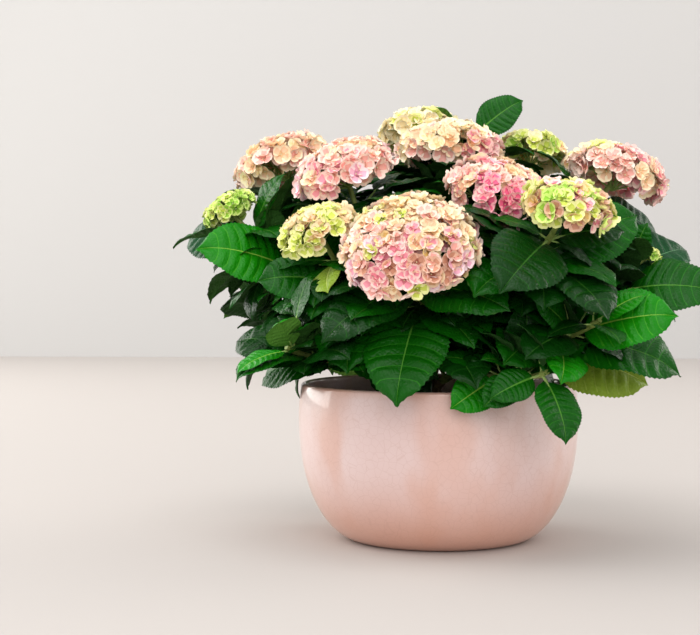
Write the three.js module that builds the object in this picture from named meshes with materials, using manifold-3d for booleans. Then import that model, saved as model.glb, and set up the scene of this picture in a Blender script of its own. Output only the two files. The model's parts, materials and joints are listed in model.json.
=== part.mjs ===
// A mophead hydrangea in bloom, growing in a round glazed planter. Millimetres, +Z up.
// The origin is the middle of the planter's flat underside. -Y is the front and +X the right.
// Woody stems rise from the potting mix and fork into canes. Each cane carries one leafy shoot,
// and most shoots end in a domed flower head.
import * as THREE from "three";
import { mergeVertices } from "three/addons/utils/BufferGeometryUtils.js";
import Module from "manifold-3d";

const wasm = await Module();
wasm.setup();

// The planter: a round bowl, swelling from its foot to a belly just under the mouth.
const POT = {
  footRadius: 84,
  bellyRadius: 139,
  bellyHeight: 120,
  mouthRadius: 136.5,
  height: 155,
  wall: 6,
  floor: 10,
  swellPower: 2.2,
  swellRoot: 0.58,
  sides: 34,
};
const GAP = 0.32;
const SOIL = { top: 136, gap: 0.5, sides: POT.sides };

// Stems: where each one stands on the potting mix.
const STEM = { footRadius: 11, radius: 7.2, flareReach: 8, armRadius: 4.6, sides: 7, armSides: 5, rings: 3 };
const STEM_FEET = {
  front: [-6, -40],
  right: [46, -16],
  rear_right: [30, 36],
  rear_left: [-34, 34],
  left: [-50, -18],
};
const CANE = { radius: 4.6, tipRadius: 3.7, sides: 5, rings: 3, least: 12, shortest: 190 };
const SHOOT_STEM = { tipRadius: 2.5, sides: 5, rings: 4, share: 0.68, most: 178 };
const STALK = { radius: 2.5, length: 15, sides: 5 };

// The heads and shoots lean away from this height on the planter's axis.
const CROWN_HEART = 105;
// The space the leaves keep to. lowest is for a leaf that reaches for its place, edge for the rest.
const CROWN = { middle: [4, 8, 235], reach: [290, 276, 236], lowest: 62, edge: 138 };

// Shoots. tip is the middle of the flower head, or the shoot's end where it has none. radius is
// the head's and lean how far it tips outwards, turn the bearing in degrees of the top pair of
// leaves, leaf the longest leaf and pairs how many pairs there are.
const SHOOTS = [
  { name: "front", stem: "front", tip: [-24, -155, 287], radius: 64, lean: 0.95, turn: 195, leaf: 108 },
  { name: "top", stem: "front", tip: [12, 15, 385], radius: 54, turn: 50, leaf: 98 },
  { name: "low_right", stem: "front", tip: [98, -160, 176], turn: 250, leaf: 88, pairs: 3 },
  { name: "mid_right", stem: "right", tip: [57, -78, 339], radius: 51, lean: 1.4, turn: 330, leaf: 100 },
  { name: "front_right", stem: "right", tip: [115, -158, 322], radius: 43, lean: 0.45, turn: 28, leaf: 100 },
  { name: "leafy_right", stem: "right", tip: [146, -146, 222], turn: 80, leaf: 92 },
  { name: "bud_right", stem: "right", tip: [208, 0, 282], radius: 14, turn: 350, leaf: 92 },
  { name: "far_right", stem: "rear_right", tip: [181, 44, 363], radius: 52, lean: 0.5, turn: 0, leaf: 100, pairs: 5 },
  { name: "rear_top_right", stem: "rear_right", tip: [100, 112, 388], radius: 40, turn: 115, leaf: 96 },
  { name: "rear_right", stem: "rear_right", tip: [158, 168, 318], radius: 47, turn: 10, leaf: 102, pairs: 5 },
  { name: "rear_middle", stem: "rear_right", tip: [30, 208, 328], radius: 55, turn: 350, leaf: 104, pairs: 5 },
  { name: "rear_top", stem: "rear_left", tip: [-20, 124, 411], radius: 45, turn: 155, leaf: 98 },
  { name: "upper_middle", stem: "rear_left", tip: [30, 84, 408], turn: 10, leaf: 84, pairs: 3 },
  { name: "rear_left", stem: "rear_left", tip: [-122, 168, 316], radius: 50, turn: 20, leaf: 104, pairs: 5 },
  { name: "far_left", stem: "rear_left", tip: [-162, 62, 374], radius: 51, turn: 350, leaf: 98, pairs: 5 },
  { name: "low_rear", stem: "rear_left", tip: [-190, 128, 232], turn: 150, leaf: 92 },
  { name: "upper_left", stem: "left", tip: [-91, -42, 362], radius: 51, lean: 1, turn: 165, leaf: 98 },
  { name: "mid_left", stem: "left", tip: [-112, -112, 303], radius: 38, turn: 270, leaf: 96 },
  { name: "green_left", stem: "left", tip: [-210, 6, 326], radius: 29, turn: 180, leaf: 92, pairs: 5 },
  { name: "low_left", stem: "left", tip: [-140, -128, 196], turn: 225, leaf: 100 },
];
// Leaves that reach for a place: shoot, pair, which leaf of the pair and where its tip comes, then
// the bearing in degrees its blade faces, or away from the planter's axis, and its petiole's length.
const AIMS = [
  ["front", 0, 0, [-106, -168, 204]],
  ["front", 0, 1, [64, -182, 234]],
  ["front", 1, 0, [-38, -186, 148]],
  ["front", 2, 1, [-104, -112, 180]],
  ["upper_middle", 0, 0, [88, 77, 445], 285, 18],
  ["mid_left", 0, 0, [-101, -154, 248], 225],
  ["mid_left", 1, 1, [-172, -96, 258], 260],
  ["green_left", 0, 1, [-154, -12, 364], 220],
  ["green_left", 1, 1, [-262, 66, 306], 230, 40],
  ["green_left", 2, 1, [-236, -52, 290], 262],
  ["front_right", 0, 1, [54, -222, 250]],
  ["front_right", 0, 0, [170, -132, 304]],
  ["front_right", 1, 0, [188, -88, 320], 285],
  ["bud_right", 1, 0, [254, 46, 290], 270],
  ["bud_right", 2, 0, [256, 44, 254], 290],
  ["bud_right", 2, 1, [272, -46, 250], 300, 52],
  ["far_right", 0, 0, [238, 70, 316], 340],
  ["leafy_right", 1, 0, [216, -152, 228], 280],
  ["leafy_right", 1, 1, [86, -160, 242], 270],
  ["leafy_right", 2, 0, [110, -180, 168]],
  ["leafy_right", 2, 1, [226, -118, 172], 318],
  ["leafy_right", 3, 0, [200, -84, 160], 230, 22],
  ["leafy_right", 3, 1, [60, -172, 186]],
  ["low_left", 1, 0, [-186, -150, 168]],
  ["low_right", 0, 0, [114, -188, 114]],
  ["low_right", 0, 1, [46, -176, 153]],
  ["low_right", 1, 0, [52, -186, 164]],
];
const LEAST_HEAD = 20;

// Leaves, pair by pair from the top of the shoot down.
const PAIRS = {
  count: 4,
  first: 9,
  last: 9,
  spacing: [0, 28, 58, 90, 122],
  size: [0.8, 1, 1.04, 0.96, 0.88],
  rise: [34, 22, 12, 2, -4],
  droop: [30, 38, 42, 44, 44],
  petiole: [10, 14, 17, 20, 22],
};
const LEAFY_TIP = { size: [0.5, 0.86, 1, 0.96, 0.9], rise: [52, 26, 12, 2, -4] };
// upward and outward share out how far a blade faces the sky or away from the planter's axis.
const LEAF = {
  width: 0.74,
  level: 0.62,
  upward: 0.5,
  outward: 0.6,
  fold: 10,
  cup: 0.14,
  thickness: 0.014,
  stations: [0.11, 0.34, 0.64, 0.87],
  petioleRadius: 1.7,
  clearance: 0.02,
  least: 32,
};
// What a leaf does to miss its neighbours: turn, rise (both degrees) and size, tried in this order.
const FITS = [
  [0, 0, 1],
  [0, 12, 1],
  [0, -12, 1],
  [14, 0, 1],
  [-14, 0, 1],
  [12, 14, 0.95],
  [-12, 14, 0.95],
  [12, -14, 0.95],
  [-12, -14, 0.95],
  [0, 26, 0.95],
  [0, -26, 0.95],
  [26, 0, 0.92],
  [-26, 0, 0.92],
  [24, 20, 0.88],
  [-24, 20, 0.88],
  [24, -20, 0.88],
  [-24, -20, 0.88],
  [0, 40, 0.86],
  [0, -40, 0.86],
  [0, 0, 0.78],
  [0, 20, 0.74],
  [0, -20, 0.74],
  [20, 8, 0.7],
  [-20, 8, 0.7],
  [36, 24, 0.68],
  [-36, 24, 0.68],
  [0, 0, 0.6],
  [16, -30, 0.6],
  [-16, -30, 0.6],
  [0, 34, 0.56],
  [30, 0, 0.52],
  [-30, 0, 0.52],
];

// Flower heads: a dome set with blossoms, each standing for a few of the real ones. rise and under
// are the dome's height and depth, as shares of its radius, and spread the blossoms' spacing.
const HEAD = {
  rise: 0.6,
  under: 0.34,
  lean: 0.7,
  spread: [0.42, 6],
  blossom: 0.5,
  cup: 6,
  gap: 11,
  lowest: 116,
};

const COLOURS = {
  glaze: { color: 0xe3c3b9, roughness: 0.22, metalness: 0 },
  mix: { color: 0x2b1d15, roughness: 1, metalness: 0 },
  wood: { color: 0x6f5a41, roughness: 0.9, metalness: 0 },
  cane: { color: 0x7c8a4a, roughness: 0.7, metalness: 0 },
  foliage: { color: 0x1f6a26, roughness: 0.5, metalness: 0 },
  pink: { color: 0xf0a9b4, roughness: 0.75, metalness: 0 },
  cream: { color: 0xefcfa0, roughness: 0.75, metalness: 0 },
  lime: { color: 0xb9d55c, roughness: 0.75, metalness: 0 },
};
const HEAD_COLOURS = {
  front: "cream",
  top: "cream",
  mid_right: "pink",
  front_right: "lime",
  far_right: "pink",
  rear_top_right: "lime",
  rear_right: "pink",
  rear_middle: "pink",
  rear_top: "lime",
  rear_left: "cream",
  far_left: "pink",
  upper_left: "pink",
  mid_left: "cream",
  green_left: "lime",
};

const X = new THREE.Vector3(1, 0, 0);
const UP = new THREE.Vector3(0, 0, 1);
const RADIANS = Math.PI / 180;
const GOLDEN_TURN = Math.PI * (3 - Math.sqrt(5));

// The same numbers between 0 and 1 for the same seed, every time.
function seeded(seed) {
  let state = seed >>> 0;
  return () => {
    state = (state + 0x6d2b79f5) >>> 0;
    let t = Math.imul(state ^ (state >>> 15), 1 | state);
    t = (t + Math.imul(t ^ (t >>> 7), 61 | t)) ^ t;
    return ((t ^ (t >>> 14)) >>> 0) / 4294967296;
  };
}

function solidOf(geometry) {
  const bare = geometry.clone();
  bare.deleteAttribute("normal");
  bare.deleteAttribute("uv");
  const merged = mergeVertices(bare, 1e-4);
  return new wasm.Manifold(
    new wasm.Mesh({
      numProp: 3,
      vertProperties: new Float32Array(merged.attributes.position.array),
      triVerts: new Uint32Array(merged.index.array),
    }),
  );
}

function geometryOf(solid) {
  const mesh = solid.getMesh();
  const geometry = new THREE.BufferGeometry();
  geometry.setAttribute("position", new THREE.BufferAttribute(mesh.vertProperties, 3));
  geometry.setIndex(new THREE.BufferAttribute(mesh.triVerts, 1));
  geometry.computeVertexNormals();
  return geometry;
}

// Turns a closed profile of [radius, height] pairs round the Z axis.
function turned(profile, sides) {
  const points = profile.map(([radius, height]) => new THREE.Vector2(radius, height));
  return new THREE.LatheGeometry(points, sides).rotateX(Math.PI / 2);
}

// The bowl's outer radius at a height.
function potRadius(height) {
  const { footRadius, bellyRadius, bellyHeight, mouthRadius } = POT;
  if (height > bellyHeight) {
    const past = (height - bellyHeight) / (POT.height - bellyHeight);
    return bellyRadius - (bellyRadius - mouthRadius) * past ** 2;
  }
  const below = 1 - height / bellyHeight;
  return footRadius + (bellyRadius - footRadius) * (1 - below ** POT.swellPower) ** POT.swellRoot;
}

const POT_LEVELS = [0, 2, 8, 20, 42, 76, POT.bellyHeight];

function potSolid() {
  const lip = POT.wall / 2;
  const shoulder = POT.height - lip;
  const outside = [...POT_LEVELS, shoulder].map((z) => [potRadius(z), z]);
  const lipMiddle = potRadius(shoulder) - lip;
  const lipArc = [60, 90, 120].map((angle) => [
    lipMiddle + lip * Math.cos(angle * RADIANS),
    shoulder + lip * Math.sin(angle * RADIANS),
  ]);
  const inside = [shoulder, ...POT_LEVELS.filter((z) => z > POT.floor).reverse()];
  const hollow = inside.map((z) => [potRadius(z) - POT.wall, z]);
  const floor = [[potRadius(POT.floor) - POT.wall - 4, POT.floor], [0, POT.floor]];
  return solidOf(turned([[0, 0], ...outside, ...lipArc, ...hollow, ...floor, [0, 0]], POT.sides));
}

// The potting mix fills the bowl, a little clear of its glaze, and is flat on top.
function mixSolid() {
  const inner = (z) => potRadius(z) - POT.wall - SOIL.gap;
  const levels = [20, 76];
  const wall = levels.map((z) => [inner(z), z]);
  const bottom = [[0, POT.floor + SOIL.gap], [inner(POT.floor) - 5, POT.floor + SOIL.gap]];
  const top = [[inner(SOIL.top - 6) - 0.4, SOIL.top - 6], [inner(SOIL.top) - 12, SOIL.top], [0, SOIL.top]];
  return solidOf(turned([...bottom, ...wall, ...top, [0, POT.floor + SOIL.gap]], SOIL.sides));
}

// One shoot's course from its stem's foot to its tip, as a smooth curve with its length measured.
class Course {
  constructor(shoot) {
    this.shoot = shoot;
    const [footX, footY] = STEM_FEET[shoot.stem];
    const tip = new THREE.Vector3(...shoot.tip);
    this.axis = tip.clone().sub(new THREE.Vector3(0, 0, CROWN_HEART)).normalize();
    const foot = new THREE.Vector3(footX, footY, SOIL.top + GAP);
    const reach = foot.distanceTo(tip);
    const outward = new THREE.Vector3(tip.x - footX, tip.y - footY, 0).normalize();
    const start = foot.clone().addScaledVector(UP, reach * 0.34).addScaledVector(outward, reach * 0.05);
    const bend = tip.clone().addScaledVector(this.axis, -reach * 0.38);
    this.curve = new THREE.CubicBezierCurve3(foot, start, bend, tip);
    this.steps = 400;
    this.lengths = this.curve.getLengths(this.steps);
    this.length = this.lengths[this.steps];
  }

  // The curve's own parameter at a distance along it from the foot.
  at(distance) {
    const wanted = Math.min(Math.max(distance, 0), this.length);
    let step = 1;
    while (step < this.steps && this.lengths[step] < wanted) step += 1;
    const before = this.lengths[step - 1];
    return (step - 1 + (wanted - before) / (this.lengths[step] - before)) / this.steps;
  }

  // A place on the course with its direction and two directions square to it.
  frame(distance) {
    const t = this.at(distance);
    const ahead = this.curve.getTangent(t);
    const side = X.clone().addScaledVector(ahead, -ahead.x).normalize();
    return { place: this.curve.getPoint(t), ahead, side, across: ahead.clone().cross(side) };
  }
}

// A tapering limb: a cylinder bent along a course between two distances.
function limb(course, from, to, radius, sides, rings) {
  const geometry = new THREE.CylinderGeometry(1, 1, 1, sides, rings);
  const position = geometry.attributes.position;
  for (let i = 0; i < position.count; i++) {
    const share = position.getY(i) + 0.5;
    const distance = from + (to - from) * share;
    const { place, side, across } = course.frame(distance);
    const r = radius(share, distance);
    place.addScaledVector(side, -position.getX(i) * r).addScaledVector(across, position.getZ(i) * r);
    position.setXYZ(i, place.x, place.y, place.z);
  }
  return solidOf(geometry);
}

const taper = (from, to) => (share) => from + (to - from) * share;

// How far up a stem its arms have drawn clear of each other.
function forkOf(courses) {
  const clear = 2 * STEM.armRadius + 2.5;
  for (let distance = 20; ; distance += 1) {
    const places = courses.map((course) => course.frame(distance).place);
    const apart = places.every((a, i) => places.slice(i + 1).every((b) => a.distanceTo(b) > clear));
    if (apart) return distance;
  }
}

// Marks the distances along a course where its stem ends, its leafy part starts and that part ends.
function mark(course, fork) {
  const { radius = 0 } = course.shoot;
  course.fork = fork;
  course.headed = radius > LEAST_HEAD;
  course.leafTop = course.length - HEAD.under * radius - (course.headed ? STALK.length : radius / 2);
  course.top = course.headed ? course.leafTop : course.length;
  const leafy = Math.min(SHOOT_STEM.share * course.length, SHOOT_STEM.most);
  // A short shoot is leafy from the stem on, with no cane between.
  course.caned = course.length > CANE.shortest;
  course.start = course.caned ? Math.max(course.top - leafy, fork + CANE.least) : fork + GAP;
}

// A stem: a flared butt on the potting mix, and the arms that leave it.
function stemSolid(courses) {
  const { fork } = courses[0];
  const foot = courses[0].curve.v0;
  const height = fork * 0.45;
  const butt = [[0, 0]];
  for (const share of [0, 0.15, 0.4, 1]) {
    const z = height * share;
    butt.push([STEM.radius + (STEM.footRadius - STEM.radius) * Math.exp(-z / STEM.flareReach), z]);
  }
  butt.push([0, height + 2], [0, 0]);
  const parts = [solidOf(turned(butt, STEM.sides).translate(foot.x, foot.y, foot.z))];
  for (const course of courses) {
    const width = taper(STEM.armRadius * 1.15, STEM.armRadius);
    parts.push(limb(course, 5, fork, width, STEM.armSides, STEM.rings));
  }
  return wasm.Manifold.union(parts);
}

// The half width of a leaf at a share of its length: rounded below, drawn to a point above.
function halfWidth(share) {
  return (Math.sin(Math.PI * Math.min(share, 1) ** 0.82) ** 0.78 * (1 - 0.22 * share ** 5)) / 2;
}

// Where a leaf's surface lies: share runs along the midrib and edge from -1 to 1 across it.
function leafPoint(leaf, share, edge, lift = 0) {
  const turn = leaf.droop * share;
  const along = leaf.length * (Math.sin(turn) / leaf.droop);
  const fall = leaf.length * ((1 - Math.cos(turn)) / leaf.droop);
  const normal = leaf.normal.clone().multiplyScalar(Math.cos(turn)).addScaledVector(leaf.ahead, Math.sin(turn));
  const half = halfWidth(share) * leaf.length * LEAF.width;
  const out = Math.abs(edge) * half;
  const fold = LEAF.fold * RADIANS;
  return leaf.base
    .clone()
    .addScaledVector(leaf.ahead, along)
    .addScaledVector(leaf.normal, -fall)
    .addScaledVector(leaf.side, Math.sign(edge) * out * Math.cos(fold))
    .addScaledVector(normal, out * Math.sin(fold) - LEAF.cup * out * Math.abs(edge) + lift);
}

// A closed solid lofted through rows of three corners and drawn to a point.
function lofted(rows, tip) {
  const faces = [0, 2, 1];
  for (let row = 0; row + 1 < rows.length; row++) {
    for (let corner = 0; corner < 3; corner++) {
      const a = 3 * row + corner;
      const b = 3 * row + ((corner + 1) % 3);
      faces.push(a, b, b + 3, a, b + 3, a + 3);
    }
  }
  const last = 3 * (rows.length - 1);
  for (let corner = 0; corner < 3; corner++) faces.push(last + corner, last + ((corner + 1) % 3), last + 3);
  const geometry = new THREE.BufferGeometry().setFromPoints([...rows.flat(), tip]);
  geometry.setIndex(faces);
  return solidOf(geometry);
}

// A leaf: its three-sided petiole from the middle of the stem, and a blade that is sharp at the
// edge and thick along the midrib, below. extra makes it larger all round, to see how much room it
// needs; from is where along the petiole it starts.
function leafSolid(leaf, extra = 0, from = 0) {
  const under = (LEAF.thickness * leaf.length) / 2 + extra;
  const stalk = (place, radius) => [
    place.clone().addScaledVector(leaf.side, -radius).addScaledVector(leaf.normal, radius * 0.6),
    place.clone().addScaledVector(leaf.side, radius).addScaledVector(leaf.normal, radius * 0.6),
    place.clone().addScaledVector(leaf.normal, -radius),
  ];
  const edge = 1 + (2 * extra) / (LEAF.width * leaf.length);
  const radius = LEAF.petioleRadius + extra / 2;
  const rows = [stalk(leaf.root.clone().lerp(leaf.base, from), radius), stalk(leaf.base, radius * 0.85)];
  for (const share of LEAF.stations) {
    rows.push([
      leafPoint(leaf, share, -edge, extra / 2),
      leafPoint(leaf, share, edge, extra / 2),
      leafPoint(leaf, share, 0, -under),
    ]);
  }
  return lofted(rows, leafPoint(leaf, 1 + extra / leaf.length, 0));
}

// The leaf that grows at a place on the shoot, in the rule's own position or after one of FITS.
function leafAt(spot, [turn, rise, size]) {
  const { root, petiole, droop, facing, aim } = spot;
  let { ahead, length } = spot;
  const above = facing.clone();
  if (aim) {
    // Its chord runs to the place it reaches for, and its midrib starts out higher by half the droop.
    for (let round = 0; round < 4; round++) {
      const chord = aim.clone().sub(root).addScaledVector(ahead, -petiole);
      const way = chord.clone().normalize();
      above.copy(facing).addScaledVector(way, -facing.dot(way)).normalize();
      length = (chord.length() * (droop / 2)) / Math.sin(droop / 2);
      ahead = way.multiplyScalar(Math.cos(droop / 2)).addScaledVector(above, Math.sin(droop / 2));
    }
  }
  above.addScaledVector(ahead, -above.dot(ahead)).normalize();
  ahead = ahead.clone().applyAxisAngle(above, turn * RADIANS);
  const side = ahead.clone().cross(above).normalize();
  ahead.applyAxisAngle(side, rise * RADIANS);
  return {
    root,
    base: root.clone().addScaledVector(ahead, petiole),
    ahead,
    side,
    normal: side.clone().cross(ahead),
    droop,
    length: length * size,
  };
}

// The leaf at a place in the first of FITS that passes a test.
function firstThat(grows, spot) {
  for (const fit of FITS) {
    const leaf = leafAt(spot, fit);
    if (grows(leaf)) return leaf;
  }
  return null;
}

// The places on a shoot where leaves grow: opposite pairs, each a quarter turn from the last.
function leafSpots(course, number) {
  const random = seeded(1000 + 17 * number);
  const spread = (reach) => (random() * 2 - 1) * reach;
  const { shoot, leafTop, start, headed } = course;
  const pairs = shoot.pairs ?? PAIRS.count;
  // A short shoot has its pairs of leaves closer together.
  const squeeze = Math.min(1, (leafTop - start - PAIRS.first - PAIRS.last) / PAIRS.spacing[pairs - 1]);
  const sizes = headed ? PAIRS.size : LEAFY_TIP.size;
  const rises = headed ? PAIRS.rise : LEAFY_TIP.rise;
  const spots = [];
  for (let pair = 0; pair < pairs; pair++) {
    for (const leaf of [0, 1]) {
      const bearing = (shoot.turn + 90 * pair + 180 * leaf + spread(9)) * RADIANS;
      const length = shoot.leaf * sizes[pair] * (1 + spread(0.07));
      const lift = (rises[pair] + spread(6)) * RADIANS;
      const droop = PAIRS.droop[pair] * (1 + spread(0.18)) * RADIANS;
      const distance = leafTop - PAIRS.first - PAIRS.spacing[pair] * squeeze - 1.5 * leaf;
      const { place, ahead: stemAhead, side, across } = course.frame(distance);
      const ahead = side.multiplyScalar(Math.cos(bearing)).addScaledVector(across, Math.sin(bearing));
      ahead.multiplyScalar(Math.cos(lift)).addScaledVector(stemAhead, Math.sin(lift));
      // Leaves turn towards the light, so they lie flatter than the stem alone would hold them.
      ahead.setZ(ahead.z * LEAF.level + 0.04).normalize();
      const facing = stemAhead.multiplyScalar(1 - LEAF.upward).addScaledVector(UP, LEAF.upward);
      const aimed = AIMS.find((each) => each[0] === shoot.name && each[1] === pair && each[2] === leaf);
      const aim = aimed && new THREE.Vector3(...aimed[3]);
      if (aim) {
        const turn = aimed[4] === undefined ? Math.atan2(aim.y, aim.x) : aimed[4] * RADIANS;
        facing.set(Math.cos(turn), Math.sin(turn), 0);
        facing.multiplyScalar(LEAF.outward).addScaledVector(UP, 1 - LEAF.outward);
      }
      const petiole = aimed?.[5] ?? PAIRS.petiole[pair];
      spots.push({ pair, aim, root: place, ahead, facing, length, droop, petiole });
    }
  }
  return spots;
}

function insideCrown(leaf, lowest) {
  const outline = [0.3, 0.6, 1].flatMap((share) => [leafPoint(leaf, share, -1), leafPoint(leaf, share, 1)]);
  return outline.every((point) => {
    const share = point.toArray().map((value, i) => (value - CROWN.middle[i]) / CROWN.reach[i]);
    return Math.hypot(...share) < 1 && point.z > lowest;
  });
}

// Solids that stand already, with their boxes, so that a new leaf can be tried against them.
class Neighbours {
  constructor(solids = []) {
    this.solids = solids;
  }

  add(solid) {
    this.solids.push({ solid, box: solid.boundingBox() });
  }

  touched(solid) {
    const { min, max } = solid.boundingBox();
    return this.solids.some(
      ({ solid: other, box }) =>
        box.min.every((low, i) => low < max[i]) &&
        box.max.every((high, i) => high > min[i]) &&
        !solid.intersect(other).isEmpty(),
    );
  }
}

// Directions spread evenly over a dome, from its top to a given number of degrees down its side.
function domeDirections(count, lowest, random) {
  const cap = 1 - Math.cos(lowest * RADIANS);
  return Array.from({ length: count }, (_, n) => {
    const height = 1 - (cap * (n + 0.5)) / count;
    const flat = Math.sqrt(1 - height ** 2);
    const turn = n * GOLDEN_TURN + random() * 0.5;
    return new THREE.Vector3(flat * Math.cos(turn), flat * Math.sin(turn), height);
  });
}

const hullOf = (directions) => wasm.Manifold.hull(directions.map((way) => way.clone().multiplyScalar(100).toArray()));

// The middle of every triangle that spans neighbouring directions.
function gapsBetween(directions) {
  const { vertProperties, triVerts } = hullOf(directions).getMesh();
  const corner = (n) => new THREE.Vector3().fromArray(vertProperties, 3 * triVerts[n]);
  const middles = [];
  for (let n = 0; n < triVerts.length; n += 3) {
    middles.push(corner(n).add(corner(n + 1)).add(corner(n + 2)).normalize());
  }
  return middles;
}

// The surface of a head: blossoms as shallow four-cornered cups, with deeper gaps between them.
function domeSolid(radius, random) {
  const spread = HEAD.spread[0] * radius + HEAD.spread[1];
  const cap = 1 - Math.cos(HEAD.lowest * RADIANS);
  const count = Math.round((2 * Math.PI * radius ** 2 * cap * 0.62) / spread ** 2);
  const middles = domeDirections(count, HEAD.lowest, random);
  const under = [0, 72, 144, 216, 288].map((turn) =>
    new THREE.Vector3(0.6 * Math.cos(turn * RADIANS), 0.6 * Math.sin(turn * RADIANS), -0.8),
  );
  const marks = middles.map((way) => ({ way, reach: radius - HEAD.cup }));
  for (const middle of middles) {
    const first = new THREE.Vector3().crossVectors(middle, X).normalize();
    const second = middle.clone().cross(first);
    const spin = random() * Math.PI;
    const half = (HEAD.blossom * spread * (0.92 + 0.16 * random())) / radius;
    for (let n = 0; n < 4; n++) {
      const angle = spin + (n * Math.PI) / 2;
      const way = middle.clone().addScaledVector(first, half * Math.cos(angle));
      way.addScaledVector(second, half * Math.sin(angle)).normalize();
      if (marks.every((mark) => mark.way.distanceTo(way) > half * 0.3)) marks.push({ way, reach: radius });
    }
  }
  for (const way of gapsBetween([...middles, ...under])) {
    const near = Math.min(...marks.map((mark) => mark.way.distanceTo(way)));
    if (near * radius > HEAD.blossom * spread * 0.3) marks.push({ way, reach: radius - HEAD.gap });
  }
  under.forEach((way) => marks.push({ way, reach: radius * 0.8 }));
  return hullOf(marks.map(({ way }) => way)).warp((vertex) => {
    const way = new THREE.Vector3(...vertex).normalize();
    const mark = marks.reduce((best, each) => (each.way.dot(way) > best.way.dot(way) ? each : best));
    way.multiplyScalar(mark.reach);
    vertex[0] = way.x;
    vertex[1] = way.y;
    vertex[2] = way.z * (way.z < 0 ? HEAD.under : HEAD.rise);
  });
}

// A flower head: its stalk and its dome of blossoms, fused.
function headSolid(course, number) {
  const { place, side } = course.frame(course.length);
  const axis = UP.clone().lerp(course.axis, course.shoot.lean ?? HEAD.lean).normalize();
  const square = side.clone().addScaledVector(axis, -side.dot(axis)).normalize();
  const stand = new THREE.Matrix4().makeBasis(square, axis.clone().cross(square), axis).setPosition(place);
  const even = taper(STALK.radius, STALK.radius);
  const start = course.headed ? course.top + GAP : course.leafTop;
  const stalk = limb(course, start, course.length, even, STALK.sides, 1);
  const dome = domeSolid(course.shoot.radius, seeded(5000 + 31 * number));
  return stalk.add(dome.transform(stand.elements));
}

const group = new THREE.Group();

function addNode(name, solid, colour) {
  const mesh = new THREE.Mesh(geometryOf(solid), new THREE.MeshStandardMaterial(COLOURS[colour]));
  mesh.name = name;
  group.add(mesh);
}

// The largest of a solid's pieces: a scrap that a cut left loose is dropped.
function wholeOf(solid) {
  const pieces = solid.decompose();
  return pieces.reduce((best, piece) => (piece.volume() > best.volume() ? piece : best));
}

const courses = SHOOTS.map((shoot) => new Course(shoot));
const neighbours = new Neighbours();

const pot = potSolid();
addNode("planter", pot, "glaze");
neighbours.add(pot);
const mix = mixSolid();
addNode("potting_mix", mix, "mix");
neighbours.add(mix);

for (const stem of Object.keys(STEM_FEET)) {
  const own = courses.filter((course) => course.shoot.stem === stem);
  const fork = forkOf(own);
  own.forEach((course) => mark(course, fork));
  const solid = stemSolid(own);
  addNode(`stem_${stem}`, solid, "wood");
  neighbours.add(solid);
}

// Canes, leafy stems and heads come first, so that every leaf can be kept clear of them.
const leafyStems = courses.map((course) => {
  const { fork, start, top, shoot } = course;
  if (course.caned) {
    const width = taper(CANE.radius, CANE.tipRadius);
    const cane = limb(course, fork + GAP, start - GAP, width, CANE.sides, CANE.rings);
    addNode(`cane_${shoot.name}`, cane, "cane");
    neighbours.add(cane);
  }
  const width = taper(CANE.tipRadius, SHOOT_STEM.tipRadius);
  const stem = limb(course, start, top, width, SHOOT_STEM.sides, SHOOT_STEM.rings);
  neighbours.add(stem);
  return stem;
});
const heads = courses.map((course, number) => (course.shoot.radius ? headSolid(course, number) : null));
heads.filter(Boolean).forEach((head) => neighbours.add(head));

// Leaves: those that reach for a place first, then pair by pair from the top of every shoot. Each
// takes the first of FITS that touches nothing, and where none does no leaf grows.
const masses = leafyStems.map((stem) => [stem]);
const spots = courses.flatMap((course, number) =>
  leafSpots(course, number).map((spot) => ({ ...spot, number, turn: spot.aim ? -1 : spot.pair })),
);
spots.sort((a, b) => a.turn - b.turn || a.number - b.number);
for (const spot of spots) {
  const others = new Neighbours(neighbours.solids.filter(({ solid }) => solid !== leafyStems[spot.number]));
  const grows = (leaf) =>
    leaf.length > LEAF.least &&
    insideCrown(leaf, spot.aim ? CROWN.lowest : CROWN.edge) &&
    !others.touched(leafSolid(leaf, LEAF.clearance * leaf.length, 0.4));
  const leaf = firstThat(grows, spot);
  if (!leaf) continue;
  masses[spot.number].push(leafSolid(leaf));
  neighbours.add(leafSolid(leaf, 0, 0.4));
}

courses.forEach((course, number) => {
  const { shoot } = course;
  const parts = masses[number];
  if (heads[number] && !course.headed) parts.push(heads[number]);
  addNode(`foliage_${shoot.name}`, wholeOf(wasm.Manifold.union(parts)), "foliage");
  if (course.headed) addNode(`head_${shoot.name}`, heads[number], HEAD_COLOURS[shoot.name]);
});

export default group;
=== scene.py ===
"""A mophead hydrangea in bloom in a round glazed planter: the visual model.

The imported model's frame is +Z up, with the origin in the middle of the planter's flat underside,
-Y the front and +X the right. The rule that the solid plant grew by is written again here in
millimetres, so every limb, leaf and flower head stands where the solid one does, and is carried
on to veined and toothed leaves, four-sepalled florets, rays, pedicels and bark.
"""
from __future__ import annotations

import json
import logging
import math
from dataclasses import dataclass, field
from enum import Enum

import bpy
import numpy as np
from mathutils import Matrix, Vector
from mathutils.kdtree import KDTree

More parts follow.
